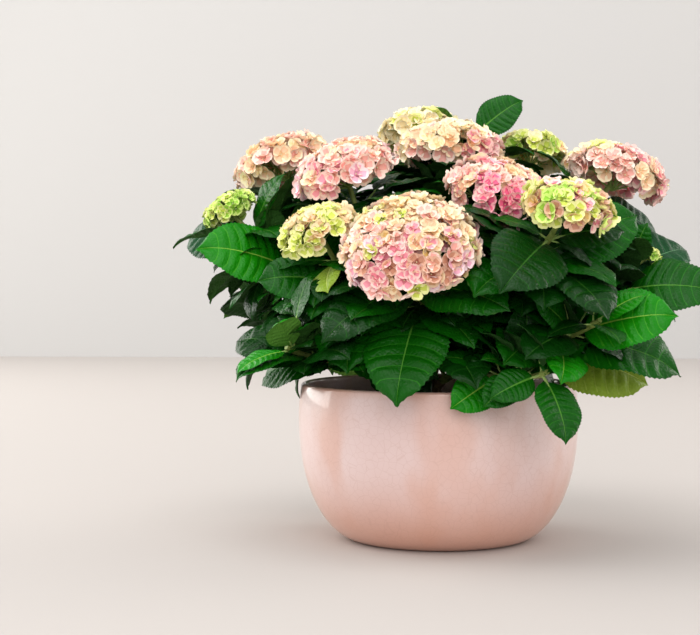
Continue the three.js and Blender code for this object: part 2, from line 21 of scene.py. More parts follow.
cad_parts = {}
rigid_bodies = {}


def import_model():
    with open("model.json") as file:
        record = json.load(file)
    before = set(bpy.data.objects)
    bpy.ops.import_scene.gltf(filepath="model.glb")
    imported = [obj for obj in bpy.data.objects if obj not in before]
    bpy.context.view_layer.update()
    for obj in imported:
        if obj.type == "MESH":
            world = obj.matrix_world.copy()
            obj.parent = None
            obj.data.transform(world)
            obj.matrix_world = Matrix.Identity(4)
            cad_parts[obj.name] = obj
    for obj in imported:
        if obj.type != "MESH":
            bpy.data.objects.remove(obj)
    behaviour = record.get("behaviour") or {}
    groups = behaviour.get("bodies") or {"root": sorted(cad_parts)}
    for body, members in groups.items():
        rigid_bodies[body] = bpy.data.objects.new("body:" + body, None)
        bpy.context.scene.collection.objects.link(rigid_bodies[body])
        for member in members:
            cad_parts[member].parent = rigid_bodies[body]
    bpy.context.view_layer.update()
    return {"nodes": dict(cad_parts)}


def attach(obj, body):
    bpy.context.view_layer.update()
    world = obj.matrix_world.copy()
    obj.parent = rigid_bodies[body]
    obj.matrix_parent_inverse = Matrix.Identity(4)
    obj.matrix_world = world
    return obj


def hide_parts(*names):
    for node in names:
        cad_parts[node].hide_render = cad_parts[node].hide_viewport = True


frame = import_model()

LOG = logging.getLogger("hydrangea")
MM = 0.001
RIGHT = np.array([1.0, 0.0, 0.0])
UP = np.array([0.0, 0.0, 1.0])
GOLDEN_TURN = math.pi * (3 - math.sqrt(5))


# The growing rule's own numbers, in millimetres and degrees.
GAP = 0.32
SOIL_TOP = 136
STEM_FEET = {
    "front": (-6, -40),
    "right": (46, -16),
    "rear_right": (30, 36),
    "rear_left": (-34, 34),
    "left": (-50, -18),
}
STEM_FOOT_RADIUS, STEM_RADIUS, FLARE_REACH, ARM_RADIUS = 11, 7.2, 8, 4.6
CANE_RADIUS, CANE_TIP_RADIUS, CANE_LEAST, CANE_SHORTEST = 4.6, 3.7, 12, 190
SHOOT_TIP_RADIUS, SHOOT_SHARE, SHOOT_MOST = 2.5, 0.68, 178
STALK_RADIUS, STALK_LENGTH = 2.5, 15
CROWN_HEART = 105
CROWN_MIDDLE = np.array([4.0, 8.0, 235.0])
CROWN_REACH = np.array([290.0, 276.0, 216.0])
LEAST_HEAD = 20
PAIR_FIRST, PAIR_LAST = 9, 9
PAIR_SPACING = (0, 28, 58, 90, 122)
PAIR_DROOP = (30, 38, 42, 44, 44)
PAIR_PETIOLE = (10, 14, 17, 20, 22)
HEADED_SIZE, HEADED_RISE = (0.8, 1, 1.04, 0.96, 0.88), (34, 22, 12, 2, -4)
LEAFY_SIZE, LEAFY_RISE = (0.5, 0.86, 1, 0.96, 0.9), (52, 26, 12, 2, -4)
LEAF_WIDTH, LEAF_LEVEL, LEAF_UPWARD, LEAF_OUTWARD = 0.74, 0.62, 0.5, 0.6
LEAF_FOLD, LEAF_CUP = math.radians(10), 0.14
# A leaf's outline: where its belly is, how blunt its ends are and how much it narrows, and how a
# finer leaf differs: rounder, less narrow, and drawn out into a tip over the last part.
LEAF_BELLY, LEAF_BLUNTNESS, LEAF_NARROWING = 0.82, 0.78, 0.22
FINE_ROUNDER, FINE_WIDER, FINE_TIP, FINE_TIP_FROM, FINE_TIP_OVER = 0.2, 0.06, 0.6, 0.86, 0.12
PETIOLE_RADIUS = 1.7
AIM_ROUNDS = 4
# How much one leaf differs from the next, in degrees or as a share.
BEARING_SPREAD, LENGTH_SPREAD, RISE_SPREAD, DROOP_SPREAD = 9, 0.07, 6, 0.18
PAIR_STAGGER, LEAF_SLOPE = 1.5, 0.04
FITS = (
    (0, 0, 1), (0, 12, 1), (0, -12, 1), (14, 0, 1), (-14, 0, 1),
    (12, 14, 0.95), (-12, 14, 0.95), (12, -14, 0.95), (-12, -14, 0.95),
    (0, 26, 0.95), (0, -26, 0.95), (26, 0, 0.92), (-26, 0, 0.92),
    (24, 20, 0.88), (-24, 20, 0.88), (24, -20, 0.88), (-24, -20, 0.88),
    (0, 40, 0.86), (0, -40, 0.86), (0, 0, 0.78), (0, 20, 0.74), (0, -20, 0.74),
    (20, 8, 0.7), (-20, 8, 0.7), (36, 24, 0.68), (-36, 24, 0.68), (0, 0, 0.6),
    (16, -30, 0.6), (-16, -30, 0.6), (0, 34, 0.56), (30, 0, 0.52), (-30, 0, 0.52),
)
HEAD_RISE, HEAD_UNDER, HEAD_LOWEST = 0.6, 0.34, 116


class Tint(Enum):
    """The colours that a floret's sepals come in: claw, middle and rim, as sRGB hex. The claw colour is
    painted shade, darker for the crease at the floret's heart.
    """

    CREAM = ("e8d29c", "fce9ba", "fff5d6")
    PEACH = ("efc594", "fed5b2", "ffedcc")
    BLUSH = ("e8a692", "fcbdb2", "ffe6d8")
    PINK = ("db8690", "f9a6b6", "ffdcd4")
    ROSE = ("c4527a", "f0749b", "fdc0c6")
    LILAC = ("dc98b0", "f7bccf", "fee6e8")
    BUFF = ("d69c78", "e8c497", "f8e4c0")
    # Partly painted shade: a darker clay pink, dealt to the lower sides of heads where shade falls between
    # the florets.
    CLAY = ("b1705a", "d59c80", "ecc3aa")
    OCHRE = ("c29c50", "eac67a", "f8e3ac")
    LIME = ("a4b43e", "d3df64", "f3f4ae")
    GREEN = ("76a530", "a4d248", "dcf08c")


class Tone(Enum):
    """The leaf colours: blade, side veins, midrib and underside, as sRGB hex."""

    DEEP = ("083806", "17500e", "376a22", "2a5021")
    GREEN = ("0c5305", "246f13", "4f8a2c", "376427")
    FRESH = ("158006", "389617", "86b942", "52862f")
    OLIVE = ("87a233", "9db44a", "c3d070", "a9bc66")
    TEAL = ("144824", "296138", "5b885e", "557a55")


@dataclass(frozen=True)
class Shoot:
    """One shoot of the plant: where it ends and what it carries."""

    name: str
    stem: str
    tip: tuple[float, float, float]
    turn: float
    leaf: float
    radius: float = 0.0
    lean: float = 0.7
    pairs: int = 4


@dataclass(frozen=True)
class Aim:
    """A leaf that reaches for a place: its tip, the bearing it faces and its petiole's length."""

    tip: tuple[float, float, float]
    facing: float | None = None
    petiole: float | None = None
    tone: Tone | None = None


SHOOTS = (
    Shoot("front", "front", (-24, -155, 287), 195, 108, 64, 0.95),
    Shoot("top", "front", (12, 15, 385), 50, 98, 54),
    Shoot("low_right", "front", (98, -160, 176), 250, 88, pairs=3),
    Shoot("mid_right", "right", (57, -78, 339), 330, 100, 51, 1.4),
    Shoot("front_right", "right", (115, -158, 322), 28, 100, 43, 0.45),
    Shoot("leafy_right", "right", (146, -146, 222), 80, 92),
    Shoot("bud_right", "right", (208, 0, 282), 350, 92, 14),
    Shoot("far_right", "rear_right", (181, 44, 363), 0, 100, 52, 0.5, 5),
    Shoot("rear_top_right", "rear_right", (100, 112, 388), 115, 96, 40),
    Shoot("rear_right", "rear_right", (158, 168, 318), 10, 102, 47, pairs=5),
    Shoot("rear_middle", "rear_right", (30, 208, 328), 350, 104, 55, pairs=5),
    Shoot("rear_top", "rear_left", (-20, 124, 411), 155, 98, 45),
    Shoot("upper_middle", "rear_left", (30, 84, 408), 10, 84, pairs=3),
    Shoot("rear_left", "rear_left", (-122, 168, 316), 20, 104, 50, pairs=5),
    Shoot("far_left", "rear_left", (-162, 62, 374), 350, 98, 51, pairs=5),
    Shoot("low_rear", "rear_left", (-190, 128, 232), 150, 92),
    Shoot("upper_left", "left", (-91, -42, 362), 165, 98, 51, 1.0),
    Shoot("mid_left", "left", (-112, -112, 303), 270, 96, 38),
    Shoot("green_left", "left", (-210, 6, 326), 180, 92, 29, pairs=5),
    Shoot("low_left", "left", (-140, -128, 196), 225, 100),
)
AIMS = {
    ("front", 0, 0): Aim((-106, -168, 204)),
    ("front", 0, 1): Aim((64, -182, 234)),
    ("front", 1, 0): Aim((-38, -186, 148)),
    ("front", 2, 1): Aim((-104, -112, 180)),
    ("upper_middle", 0, 0): Aim((88, 77, 445), 285, 18, Tone.GREEN),
    ("mid_left", 0, 0): Aim((-101, -154, 248), 225, tone=Tone.OLIVE),
    ("mid_left", 1, 1): Aim((-172, -96, 258), 260, tone=Tone.GREEN),
    ("green_left", 0, 1): Aim((-154, -12, 364), 220, tone=Tone.GREEN),
    ("green_left", 1, 1): Aim((-262, 66, 306), 230, 40, Tone.TEAL),
    ("green_left", 2, 1): Aim((-236, -52, 290), 262, tone=Tone.FRESH),
    ("front_right", 0, 1): Aim((54, -222, 250), tone=Tone.DEEP),
    ("front_right", 0, 0): Aim((170, -132, 304)),
    ("front_right", 1, 0): Aim((188, -88, 320), 285),
    ("bud_right", 1, 0): Aim((254, 46, 290), 270, tone=Tone.TEAL),
    ("bud_right", 2, 0): Aim((256, 44, 254), 290, tone=Tone.DEEP),
    ("bud_right", 2, 1): Aim((272, -46, 250), 300, 52, Tone.GREEN),
    ("far_right", 0, 0): Aim((238, 70, 316), 340, tone=Tone.TEAL),
    ("leafy_right", 1, 0): Aim((216, -152, 228), 280, tone=Tone.FRESH),
    ("leafy_right", 1, 1): Aim((86, -160, 242), 270, tone=Tone.GREEN),
    ("leafy_right", 2, 0): Aim((110, -180, 168)),
    ("leafy_right", 2, 1): Aim((226, -118, 172), 318),
    ("leafy_right", 3, 0): Aim((200, -84, 160), 230, 22, Tone.OLIVE),
    ("leafy_right", 3, 1): Aim((60, -172, 186)),
    ("low_left", 1, 0): Aim((-186, -150, 168)),
    ("low_right", 0, 0): Aim((114, -188, 114), tone=Tone.GREEN),
    ("low_right", 0, 1): Aim((46, -176, 153), tone=Tone.GREEN),
    ("low_right", 1, 0): Aim((52, -186, 164)),
}


class Dice:
    """The growing rule's number generator: the same numbers between 0 and 1 for the same seed."""

    MASK = 0xFFFFFFFF

    def __init__(self, seed: int) -> None:
        """Args: seed: where the numbers start."""
        self.state = seed & self.MASK

    def roll(self) -> float:
        """Returns: the next number, 0 to 1."""
        self.state = (self.state + 0x6D2B79F5) & self.MASK
        t = ((self.state ^ (self.state >> 15)) * (1 | self.state)) & self.MASK
        t = ((t + (((t ^ (t >> 7)) * (61 | t)) & self.MASK)) & self.MASK) ^ t
        return ((t ^ (t >> 14)) & self.MASK) / 4294967296

    def spread(self, reach: float) -> float:
        """Returns: the next number, -reach to reach."""
        return (self.roll() * 2 - 1) * reach

    def vector(self, reach: float) -> np.ndarray:
        """Returns: the next three numbers, -reach to reach."""
        return np.array([self.spread(reach) for _ in range(3)])


def unit(vector: np.ndarray) -> np.ndarray:
    """Returns: the vector at length 1."""
    return vector / np.linalg.norm(vector)


def rotated(vector: np.ndarray, axis: np.ndarray, angle: float) -> np.ndarray:
    """Returns: the vector turned about a unit axis by an angle in radians."""
    cosine, sine = math.cos(angle), math.sin(angle)
    return vector * cosine + np.cross(axis, vector) * sine + axis * (axis @ vector) * (1 - cosine)


@dataclass
class Station:
    """A place on a course, its direction and two directions square to it."""

    place: np.ndarray
    ahead: np.ndarray
    side: np.ndarray
    across: np.ndarray

    def leaf_way(self, bearing: float, lift: float, level: float, rise: float) -> np.ndarray:
        """Where a leaf sets off to.

        Args:
            bearing: round the stem, in radians.
            lift: along the stem, in radians.
            level: the share of its slope that it keeps.
            rise: what is added to its slope.

        Returns:
            The direction.
        """
        way = self.side * math.cos(bearing) + self.across * math.sin(bearing)
        way = way * math.cos(lift) + self.ahead * math.sin(lift)
        return unit(np.array([way[0], way[1], way[2] * level + rise]))


class Course:
    """A shoot's smooth way from its stem's foot to its tip."""

    STEPS = 400
    FIRST_PULL, OUTWARD_PULL, LAST_PULL = 0.34, 0.05, 0.38

    def __init__(self, shoot: Shoot, number: int) -> None:
        """Args: shoot: what it carries; number: its place in the list, which seeds its leaves."""
        self.shoot, self.number = shoot, number
        foot_x, foot_y = STEM_FEET[shoot.stem]
        tip = np.array(shoot.tip, float)
        self.axis = unit(tip - UP * CROWN_HEART)
        foot = np.array([foot_x, foot_y, SOIL_TOP + GAP])
        reach = float(np.linalg.norm(tip - foot))
        outward = unit(np.array([tip[0] - foot_x, tip[1] - foot_y, 0.0]))
        start = foot + UP * (reach * self.FIRST_PULL) + outward * (reach * self.OUTWARD_PULL)
        self.corners = np.array([foot, start, tip - self.axis * (reach * self.LAST_PULL), tip])
        way = np.array([self.point(step / self.STEPS) for step in range(self.STEPS + 1)])
        self.lengths = np.concatenate([[0], np.cumsum(np.linalg.norm(np.diff(way, axis=0), axis=1))])
        self.length = float(self.lengths[-1])

    def point(self, t: float) -> np.ndarray:
        """Returns: the curve's point at its own parameter."""
        k = 1 - t
        return np.array([k**3, 3 * k * k * t, 3 * k * t * t, t**3]) @ self.corners

    def station(self, distance: float) -> Station:
        """Returns: the station at a distance from the foot, in millimetres."""
        wanted = min(max(distance, 0.0), self.length)
        t = float(np.interp(wanted, self.lengths, np.linspace(0, 1, self.STEPS + 1)))
        ahead = unit(self.point(min(t + 1e-4, 1.0)) - self.point(max(t - 1e-4, 0.0)))
        side = unit(RIGHT - ahead * ahead[0])
        return Station(self.point(t), ahead, side, np.cross(ahead, side))

    def mark(self, fork: float) -> None:
        """Marks where the stem ends and where the leafy part starts and ends.

        Args:
            fork: how far up the stem its arms have drawn clear of each other.
        """
        radius = self.shoot.radius
        self.fork = fork
        self.headed = radius > LEAST_HEAD
        below = STALK_LENGTH if self.headed else radius / 2
        self.leaf_top = self.length - HEAD_UNDER * radius - below
        self.top = self.leaf_top if self.headed else self.length
        leafy = min(SHOOT_SHARE * self.length, SHOOT_MOST)
        self.caned = self.length > CANE_SHORTEST
        self.start = max(self.top - leafy, fork + CANE_LEAST) if self.caned else fork + GAP

    def pair_places(self) -> list[float]:
        """Returns: how far from the foot each pair of leaves grows, closer where there is little room."""
        room = self.leaf_top - self.start - PAIR_FIRST - PAIR_LAST
        squeeze = min(1.0, room / PAIR_SPACING[self.shoot.pairs - 1])
        return [self.leaf_top - PAIR_FIRST - gap * squeeze for gap in PAIR_SPACING[: self.shoot.pairs]]


def of_stem(courses: list[Course], stem: str) -> list[Course]:
    """Returns: the courses that set off from a stem."""
    return [course for course in courses if course.shoot.stem == stem]


@dataclass
class Leaf:
    """One leaf as the rule describes it: a drooping midrib with a blade either side."""

    root: np.ndarray
    base: np.ndarray
    ahead: np.ndarray
    side: np.ndarray
    normal: np.ndarray
    droop: float
    length: float
    tone: Tone = Tone.DEEP

    def half_width(self, share: np.ndarray, full: float = 0.0) -> np.ndarray:
        """How wide the blade is.

        Args:
            share: how far along the midrib, 0 to 1.
            full: 0 for the rule's outline, 1 for the finer one.

        Returns:
            The blade's half width in millimetres.
        """
        bluntness = LEAF_BLUNTNESS - FINE_ROUNDER * full
        reach = np.sin(np.pi * np.clip(share, 0, 1) ** LEAF_BELLY).clip(0) ** bluntness
        step = np.clip((share - FINE_TIP_FROM) / FINE_TIP_OVER, 0, 1)
        drawn = 1 - full * FINE_TIP * step**2 * (3 - 2 * step)
        narrowed = 1 - (LEAF_NARROWING - FINE_WIDER * full) * share**5
        return reach * drawn * narrowed / 2 * self.length * LEAF_WIDTH

    def surface(
        self, share: np.ndarray, edge: np.ndarray, lift: np.ndarray | float = 0.0, full: float = 0.0
    ) -> np.ndarray:
        """Where the leaf's surface lies.

        Args:
            share: how far along the midrib, 0 to 1.
            edge: how far across, -1 to 1.
            lift: height above the surface, in millimetres.
            full: which outline, as half_width takes it.

        Returns:
            Points in millimetres, with the arguments' shape and a last axis of 3.
        """
        share, edge = np.broadcast_arrays(np.asarray(share, float), np.asarray(edge, float))
        turn = self.droop * share
        along = self.length * np.sin(turn) / self.droop
        fall = self.length * (1 - np.cos(turn)) / self.droop
        normal = self.normal * np.cos(turn)[..., None] + self.ahead * np.sin(turn)[..., None]
        out = np.abs(edge) * self.half_width(share, full)
        height = out * math.sin(LEAF_FOLD) - LEAF_CUP * out * np.abs(edge) + lift
        return (
            self.base
            + self.ahead * along[..., None]
            - self.normal * fall[..., None]
            + self.side * (np.sign(edge) * out * math.cos(LEAF_FOLD))[..., None]
            + normal * height[..., None]
        )


@dataclass
class Spot:
    """A place on a shoot where a leaf grows, before it is fitted among its neighbours."""

    root: np.ndarray
    ahead: np.ndarray
    facing: np.ndarray
    length: float
    droop: float
    petiole: float
    pair: int = 0
    aim: np.ndarray | None = None
    tone: Tone | None = None

    def leaf(self, fit: tuple[float, float, float]) -> Leaf:
        """Args: fit: turn and rise in degrees, and size. Returns: the leaf in that position."""
        turn, rise, size = fit
        ahead, length, above = self.ahead, self.length, self.facing
        if self.aim is not None:
            for _ in range(AIM_ROUNDS):
                chord = self.aim - self.root - ahead * self.petiole
                way = unit(chord)
                above = unit(self.facing - way * (self.facing @ way))
                length = float(np.linalg.norm(chord)) * (self.droop / 2) / math.sin(self.droop / 2)
                ahead = way * math.cos(self.droop / 2) + above * math.sin(self.droop / 2)
        above = unit(above - ahead * (above @ ahead))
        ahead = rotated(ahead, above, math.radians(turn))
        side = unit(np.cross(ahead, above))
        ahead = rotated(ahead, side, math.radians(rise))
        base = self.root + ahead * self.petiole
        return Leaf(self.root, base, ahead, side, np.cross(side, ahead), self.droop, length * size)


def leaf_spots(course: Course) -> list[Spot]:
    """Returns: the places on a shoot where the rule's leaves grow, in opposite pairs."""
    dice = Dice(1000 + 17 * course.number)
    shoot = course.shoot
    sizes, rises = (HEADED_SIZE, HEADED_RISE) if course.headed else (LEAFY_SIZE, LEAFY_RISE)
    spots = []
    for pair, place in enumerate(course.pair_places()):
        for leaf in (0, 1):
            bearing = math.radians(shoot.turn + 90 * pair + 180 * leaf + dice.spread(BEARING_SPREAD))
            length = shoot.leaf * sizes[pair] * (1 + dice.spread(LENGTH_SPREAD))
            lift = math.radians(rises[pair] + dice.spread(RISE_SPREAD))
            droop = math.radians(PAIR_DROOP[pair] * (1 + dice.spread(DROOP_SPREAD)))
            here = course.station(place - PAIR_STAGGER * leaf)
            ahead = here.leaf_way(bearing, lift, LEAF_LEVEL, LEAF_SLOPE)
            facing = here.ahead * (1 - LEAF_UPWARD) + UP * LEAF_UPWARD
            aim = AIMS.get((shoot.name, pair, leaf))
            spot = Spot(here.place, ahead, facing, length, droop, PAIR_PETIOLE[pair], pair)
            if aim:
                spot.aim, spot.tone = np.array(aim.tip, float), aim.tone
                turn = math.atan2(aim.tip[1], aim.tip[0])
                turn = turn if aim.facing is None else math.radians(aim.facing)
                flat = np.array([math.cos(turn), math.sin(turn), 0.0])
                spot.facing = flat * LEAF_OUTWARD + UP * (1 - LEAF_OUTWARD)
                spot.petiole = aim.petiole or spot.petiole
            spots.append(spot)
    return spots


def tree_of_points(points: np.ndarray) -> KDTree:
    """Returns: a search tree of points in millimetres."""
    tree = KDTree(len(points))
    for index, point in enumerate(points):
        tree.insert(point, index)
    tree.balance()
    return tree


# Where a leaf is looked for on the solid, along and across, and how near a corner has to be.
TRIED_SHARES = np.array([0.34, 0.34, 0.64, 0.64, 0.87, 0.87, 1])
TRIED_EDGES = np.array([-1, 1, -1, 1, -1, 1, 0])
FOUND_WITHIN, MISSES_ALLOWED = 0.15, 1
# How tones are dealt out: the shares up to which a leaf is deep or green, and how much fresher the
# end leaves of a shoot without a head are.
DEEP_UP_TO, GREEN_UP_TO, FRESHER = 0.56, 0.93, 0.6


def grown_leaves(course: Course) -> list[Leaf]:
    """Finds which of the rule's positions each solid leaf took.

    Args:
        course: the shoot's course.

    Returns:
        The leaves that the solid shoot carries.
    """
    solid = frame["nodes"][f"foliage_{course.shoot.name}"].data
    corners = tree_of_points(np.array([tuple(v.co) for v in solid.vertices]) / MM)
    found = []
    dice = Dice(9000 + course.number)
    for spot in leaf_spots(course):
        for fit in FITS:
            leaf = spot.leaf(fit)
            tried = leaf.surface(TRIED_SHARES, TRIED_EDGES)
            if sum(corners.find(point)[2] > FOUND_WITHIN for point in tried) > MISSES_ALLOWED:
                continue
            roll = dice.roll() + (FRESHER if spot.pair == 0 and not course.headed else 0.0)
            wild = Tone.DEEP if roll < DEEP_UP_TO else Tone.GREEN if roll < GREEN_UP_TO else Tone.FRESH
            leaf.tone = spot.tone or wild
            found.append(leaf)
            break
    return found


def add_node(
    tree: bpy.types.NodeTree,
    kind: str,
    inputs: dict[str | int, object] | None = None,
    **settings: object,
) -> bpy.types.Node:
    """Adds a node to a tree.

    Args:
        tree: a material's or a geometry's node tree.
        kind: the node's type.
        inputs: for sockets, by name or number, a value, the output that feeds it, or the node whose
            first output does.
        settings: the node's own properties.

    Returns:
        The node.
    """
    node = tree.nodes.new(kind)
    for key, value in settings.items():
        setattr(node, key, value)
    for key, value in (inputs or {}).items():
        if isinstance(value, bpy.types.Node):
            value = value.outputs[0]
        if isinstance(value, bpy.types.NodeSocket):
            tree.links.new(value, node.inputs[key])
        else:
            node.inputs[key].default_value = value
    return node


def linear(hex_colour: str) -> tuple[float, float, float, float]:
    """Returns: an sRGB hex colour as linear light with full alpha."""
    parts = [int(hex_colour[i : i + 2], 16) / 255 for i in (0, 2, 4)]
    light = [c / 12.92 if c <= 0.04045 else ((c + 0.055) / 1.055) ** 2.4 for c in parts]
    return (light[0], light[1], light[2], 1.0)


class Finish:
    """A finish that is made into a material once and then shared."""

    name: str

    def dress(self, tree: bpy.types.NodeTree) -> bpy.types.Node:
        """Args: tree: the material's empty tree. Returns: the surface shader's node."""
        raise NotImplementedError

    def material(self) -> bpy.types.Material:
        """Returns: the finish as a material."""
        material = bpy.data.materials.get(self.name)
        if material is None:
            material = bpy.data.materials.new(self.name)
            material.use_nodes = True
            tree = material.node_tree
            tree.nodes.clear()
            shader = self.dress(tree)
            add_node(tree, "ShaderNodeOutputMaterial", {"Surface": shader})
        return material


@dataclass(frozen=True)
class GlazedStoneware(Finish):
    """Stoneware thrown, dipped in a blush crackle glaze and fired: glassy, with a web of fine
    crazing lines, warmer clay in runs where the glaze runs thin, a darker, warmer clay colour
    towards the foot, and painted shade at the lip: a warmer band for the leaves' shade on the rim.
    The web is drawn coarser than the real 4 mm, so that it shows."""

    name: str = "blush_crackle_glaze"
    glaze: str = "dcbcb6"
    pale: str = "e8d1ce"
    clay: str = "d69d84"
    craze: str = "b98674"
    craze_mm: float = 7.0
    cloud_mm: float = 60.0
    run_mm: float = 55.0
    run_stretch: float = 0.4
    foot_mm: float = 90.0
    lip_shade_mm: tuple[float, float] = (146.0, 155.0)
    wave_mm: float = 38.0
    wave_depth_mm: float = 2.2

    def dress(self, tree: bpy.types.NodeTree) -> bpy.types.Node:
        """Args: tree: the material's empty tree. Returns: the shader's node."""
        place = add_node(tree, "ShaderNodeTexCoord").outputs["Object"]
        height = add_node(tree, "ShaderNodeSeparateXYZ", {0: place}).outputs["Z"]
        clouds = add_node(
            tree, "ShaderNodeTexNoise", {"Vector": place, "Scale": 1 / (self.cloud_mm * MM), "Detail": 3.0}
        )
        drawn = add_node(
            tree, "ShaderNodeMapping",
            {"Vector": place, "Location": (0.02, 0.0, 0.0), "Scale": (1.0, 1.0, self.run_stretch)},
        )
        runs = add_node(
            tree, "ShaderNodeTexNoise", {"Vector": drawn, "Scale": 1 / (self.run_mm * MM), "Detail": 2.0}
        )
        web = add_node(
            tree, "ShaderNodeTexVoronoi", {"Vector": place, "Scale": 1 / (self.craze_mm * MM)},
            feature="DISTANCE_TO_EDGE",
        )
        lip_shade_low, lip_shade_high = (edge * MM for edge in self.lip_shade_mm)
        layers = (
            (runs, (0.46, 0.7, 0.0, 0.5), "SMOOTHSTEP", self.clay),
            # Darker, warmer clay colour towards the foot.
            (height, (0.0, self.foot_mm * MM, 0.85, 0.0), "SMOOTHSTEP", self.clay),
            # Painted shade: the lip is warmed towards clay where the leaves above shade the rim.
            (height, (lip_shade_low, lip_shade_high, 0.0, 0.45), "LINEAR", self.clay),
            (web, (0.0, 0.05, 0.2, 0.0), "LINEAR", self.craze),
        )
        colour = add_node(
            tree, "ShaderNodeMix", {0: clouds, 6: linear(self.glaze), 7: linear(self.pale)}, data_type="RGBA"
        )
        for value, (start, end, at_start, at_end), ease, over in layers:
            share = add_node(
                tree, "ShaderNodeMapRange", {"Value": value, 1: start, 2: end, 3: at_start, 4: at_end},
                interpolation_type=ease,
            )
            colour = add_node(
                tree, "ShaderNodeMix", {0: share, 6: colour.outputs[2], 7: linear(over)}, data_type="RGBA"
            )
        wave = add_node(
            tree, "ShaderNodeTexNoise", {"Vector": place, "Scale": 1 / (self.wave_mm * MM), "Detail": 2.0}
        )
        bump = add_node(
            tree, "ShaderNodeBump", {"Height": wave, "Strength": 0.35, "Distance": self.wave_depth_mm * MM}
        )
        return add_node(
            tree, "ShaderNodeBsdfPrincipled",
            {
                "Base Color": colour.outputs[2], "Normal": bump, "Roughness": 0.3, "IOR": 1.5,
                "Coat Weight": 0.5, "Coat Roughness": 0.07, "Coat IOR": 1.5,
            },
        )


@dataclass(frozen=True)
class Earthy(Finish):
    """A matte natural surface in two colours that change over a real grain size, as damp peat,
    bark or green bark is."""

    name: str
    dark: str
    light: str
    grain_mm: float
    roughness: float
    relief_mm: float
    stretch: float = 1.0

    def dress(self, tree: bpy.types.NodeTree) -> bpy.types.Node:
        """Args: tree: the material's empty tree. Returns: the shader's node."""
        place = add_node(tree, "ShaderNodeTexCoord").outputs["Object"]
        drawn = add_node(tree, "ShaderNodeMapping", {"Vector": place, "Scale": (1.0, 1.0, self.stretch)})
        grain = add_node(
            tree, "ShaderNodeTexNoise",
            {"Vector": drawn, "Scale": 1 / (self.grain_mm * MM), "Detail": 5.0, "Roughness": 0.6},
        )
        spread = add_node(tree, "ShaderNodeMapRange", {"Value": grain, 1: 0.34, 2: 0.66})
        colour = add_node(
            tree, "ShaderNodeMix", {0: spread, 6: linear(self.dark), 7: linear(self.light)},
            data_type="RGBA",
        )
        bump = add_node(
            tree, "ShaderNodeBump", {"Height": grain, "Strength": 0.8, "Distance": self.relief_mm * MM}
        )
        return add_node(
            tree, "ShaderNodeBsdfPrincipled",
            {"Base Color": colour.outputs[2], "Normal": bump, "Roughness": self.roughness, "IOR": 1.45},
        )


@dataclass(frozen=True)
class LeafSkin(Finish):
    """A leaf's waxy skin: semi-gloss, with a net of veinlets about 4 mm across that catches the
    light, and a shade darker in patches."""

    name: str
    colour: str
    roughness: float
    net: float
    net_mm: float = 4.2
    net_depth_mm: float = 0.5
    patch_mm: float = 34.0
    patch_shade: float = 0.6

    def dress(self, tree: bpy.types.NodeTree) -> bpy.types.Node:
        """Args: tree: the material's empty tree. Returns: the shader's node."""
        place = add_node(tree, "ShaderNodeTexCoord").outputs["Object"]
        patches = add_node(
            tree, "ShaderNodeTexNoise", {"Vector": place, "Scale": 1 / (self.patch_mm * MM), "Detail": 2.0}
        )
        shade = add_node(tree, "ShaderNodeMapRange", {"Value": patches, 1: 0.3, 2: 0.7, 3: 0.0, 4: 0.5})
        dark = tuple(c * self.patch_shade for c in linear(self.colour)[:3]) + (1.0,)
        colour = add_node(
            tree, "ShaderNodeMix", {0: shade, 6: linear(self.colour), 7: dark}, data_type="RGBA"
        )
        blade = add_node(tree, "ShaderNodeUVMap", uv_map="blade")
        net = add_node(
            tree, "ShaderNodeTexVoronoi", {"Vector": blade, "Scale": 1 / (self.net_mm * MM)},
            feature="DISTANCE_TO_EDGE", voronoi_dimensions="2D",
        )
        cells = add_node(tree, "ShaderNodeMapRange", {"Value": net, 1: 0.0, 2: 0.3})
        depth = self.net_depth_mm * MM
        bump = add_node(tree, "ShaderNodeBump", {"Height": cells, "Strength": self.net, "Distance": depth})
        return add_node(
            tree, "ShaderNodeBsdfPrincipled",
            {
                "Base Color": colour.outputs[2], "Normal": bump, "Roughness": self.roughness, "IOR": 1.4,
                "Specular IOR Level": 0.22,
            },
        )


@dataclass(frozen=True)
class Petal(Finish):
    """A sepal's velvety skin: soft and dull, and a little mottled."""

    name: str
    colour: str
    mottle_mm: float = 9.0
    deepening: float = 1.18

    def dress(self, tree: bpy.types.NodeTree) -> bpy.types.Node:
        """Args: tree: the material's empty tree. Returns: the shader's node."""
        place = add_node(tree, "ShaderNodeTexCoord").outputs["Object"]
        mottle = add_node(
            tree, "ShaderNodeTexNoise", {"Vector": place, "Scale": 1 / (self.mottle_mm * MM), "Detail": 1.0}
        )
        deep = tuple(c**self.deepening for c in linear(self.colour)[:3]) + (1.0,)
        colour = add_node(
            tree, "ShaderNodeMix", {0: mottle, 6: linear(self.colour), 7: deep}, data_type="RGBA"
        )
        return add_node(
            tree, "ShaderNodeBsdfPrincipled",
            {"Base Color": colour.outputs[2], "Roughness": 0.62, "IOR": 1.4, "Sheen Weight": 0.15},
        )


# The parts of a leaf that a tone colours, with their roughness and the strength of their net.
LEAF_PARTS = (
    ("blade", 0.34, 0.45), ("side_veins", 0.45, 0.1), ("midrib", 0.45, 0.1), ("underside", 0.6, 0.6),
)
PEAT = Earthy("damp_peat_mix", "140d09", "38281c", 4.0, 0.95, 1.2)
BARK_CHIP = Earthy("pine_bark_chip", "2c1c12", "5a3c27", 2.5, 0.9, 0.5)
OLD_WOOD = Earthy("woody_stem_bark", "4d3c29", "86704f", 3.0, 0.85, 0.5, 0.3)
GREEN_BARK = Earthy("green_cane_skin", "6d7f38", "93a355", 5.0, 0.55, 0.15, 0.3)
LEAF_STALK = Earthy("petiole_skin", "7fa04a", "a2bd6c", 6.0, 0.5, 0.05, 0.5)
BEAD = Petal("floret_bead", "e9e3b6")


SHARP_FROM = math.radians(50)


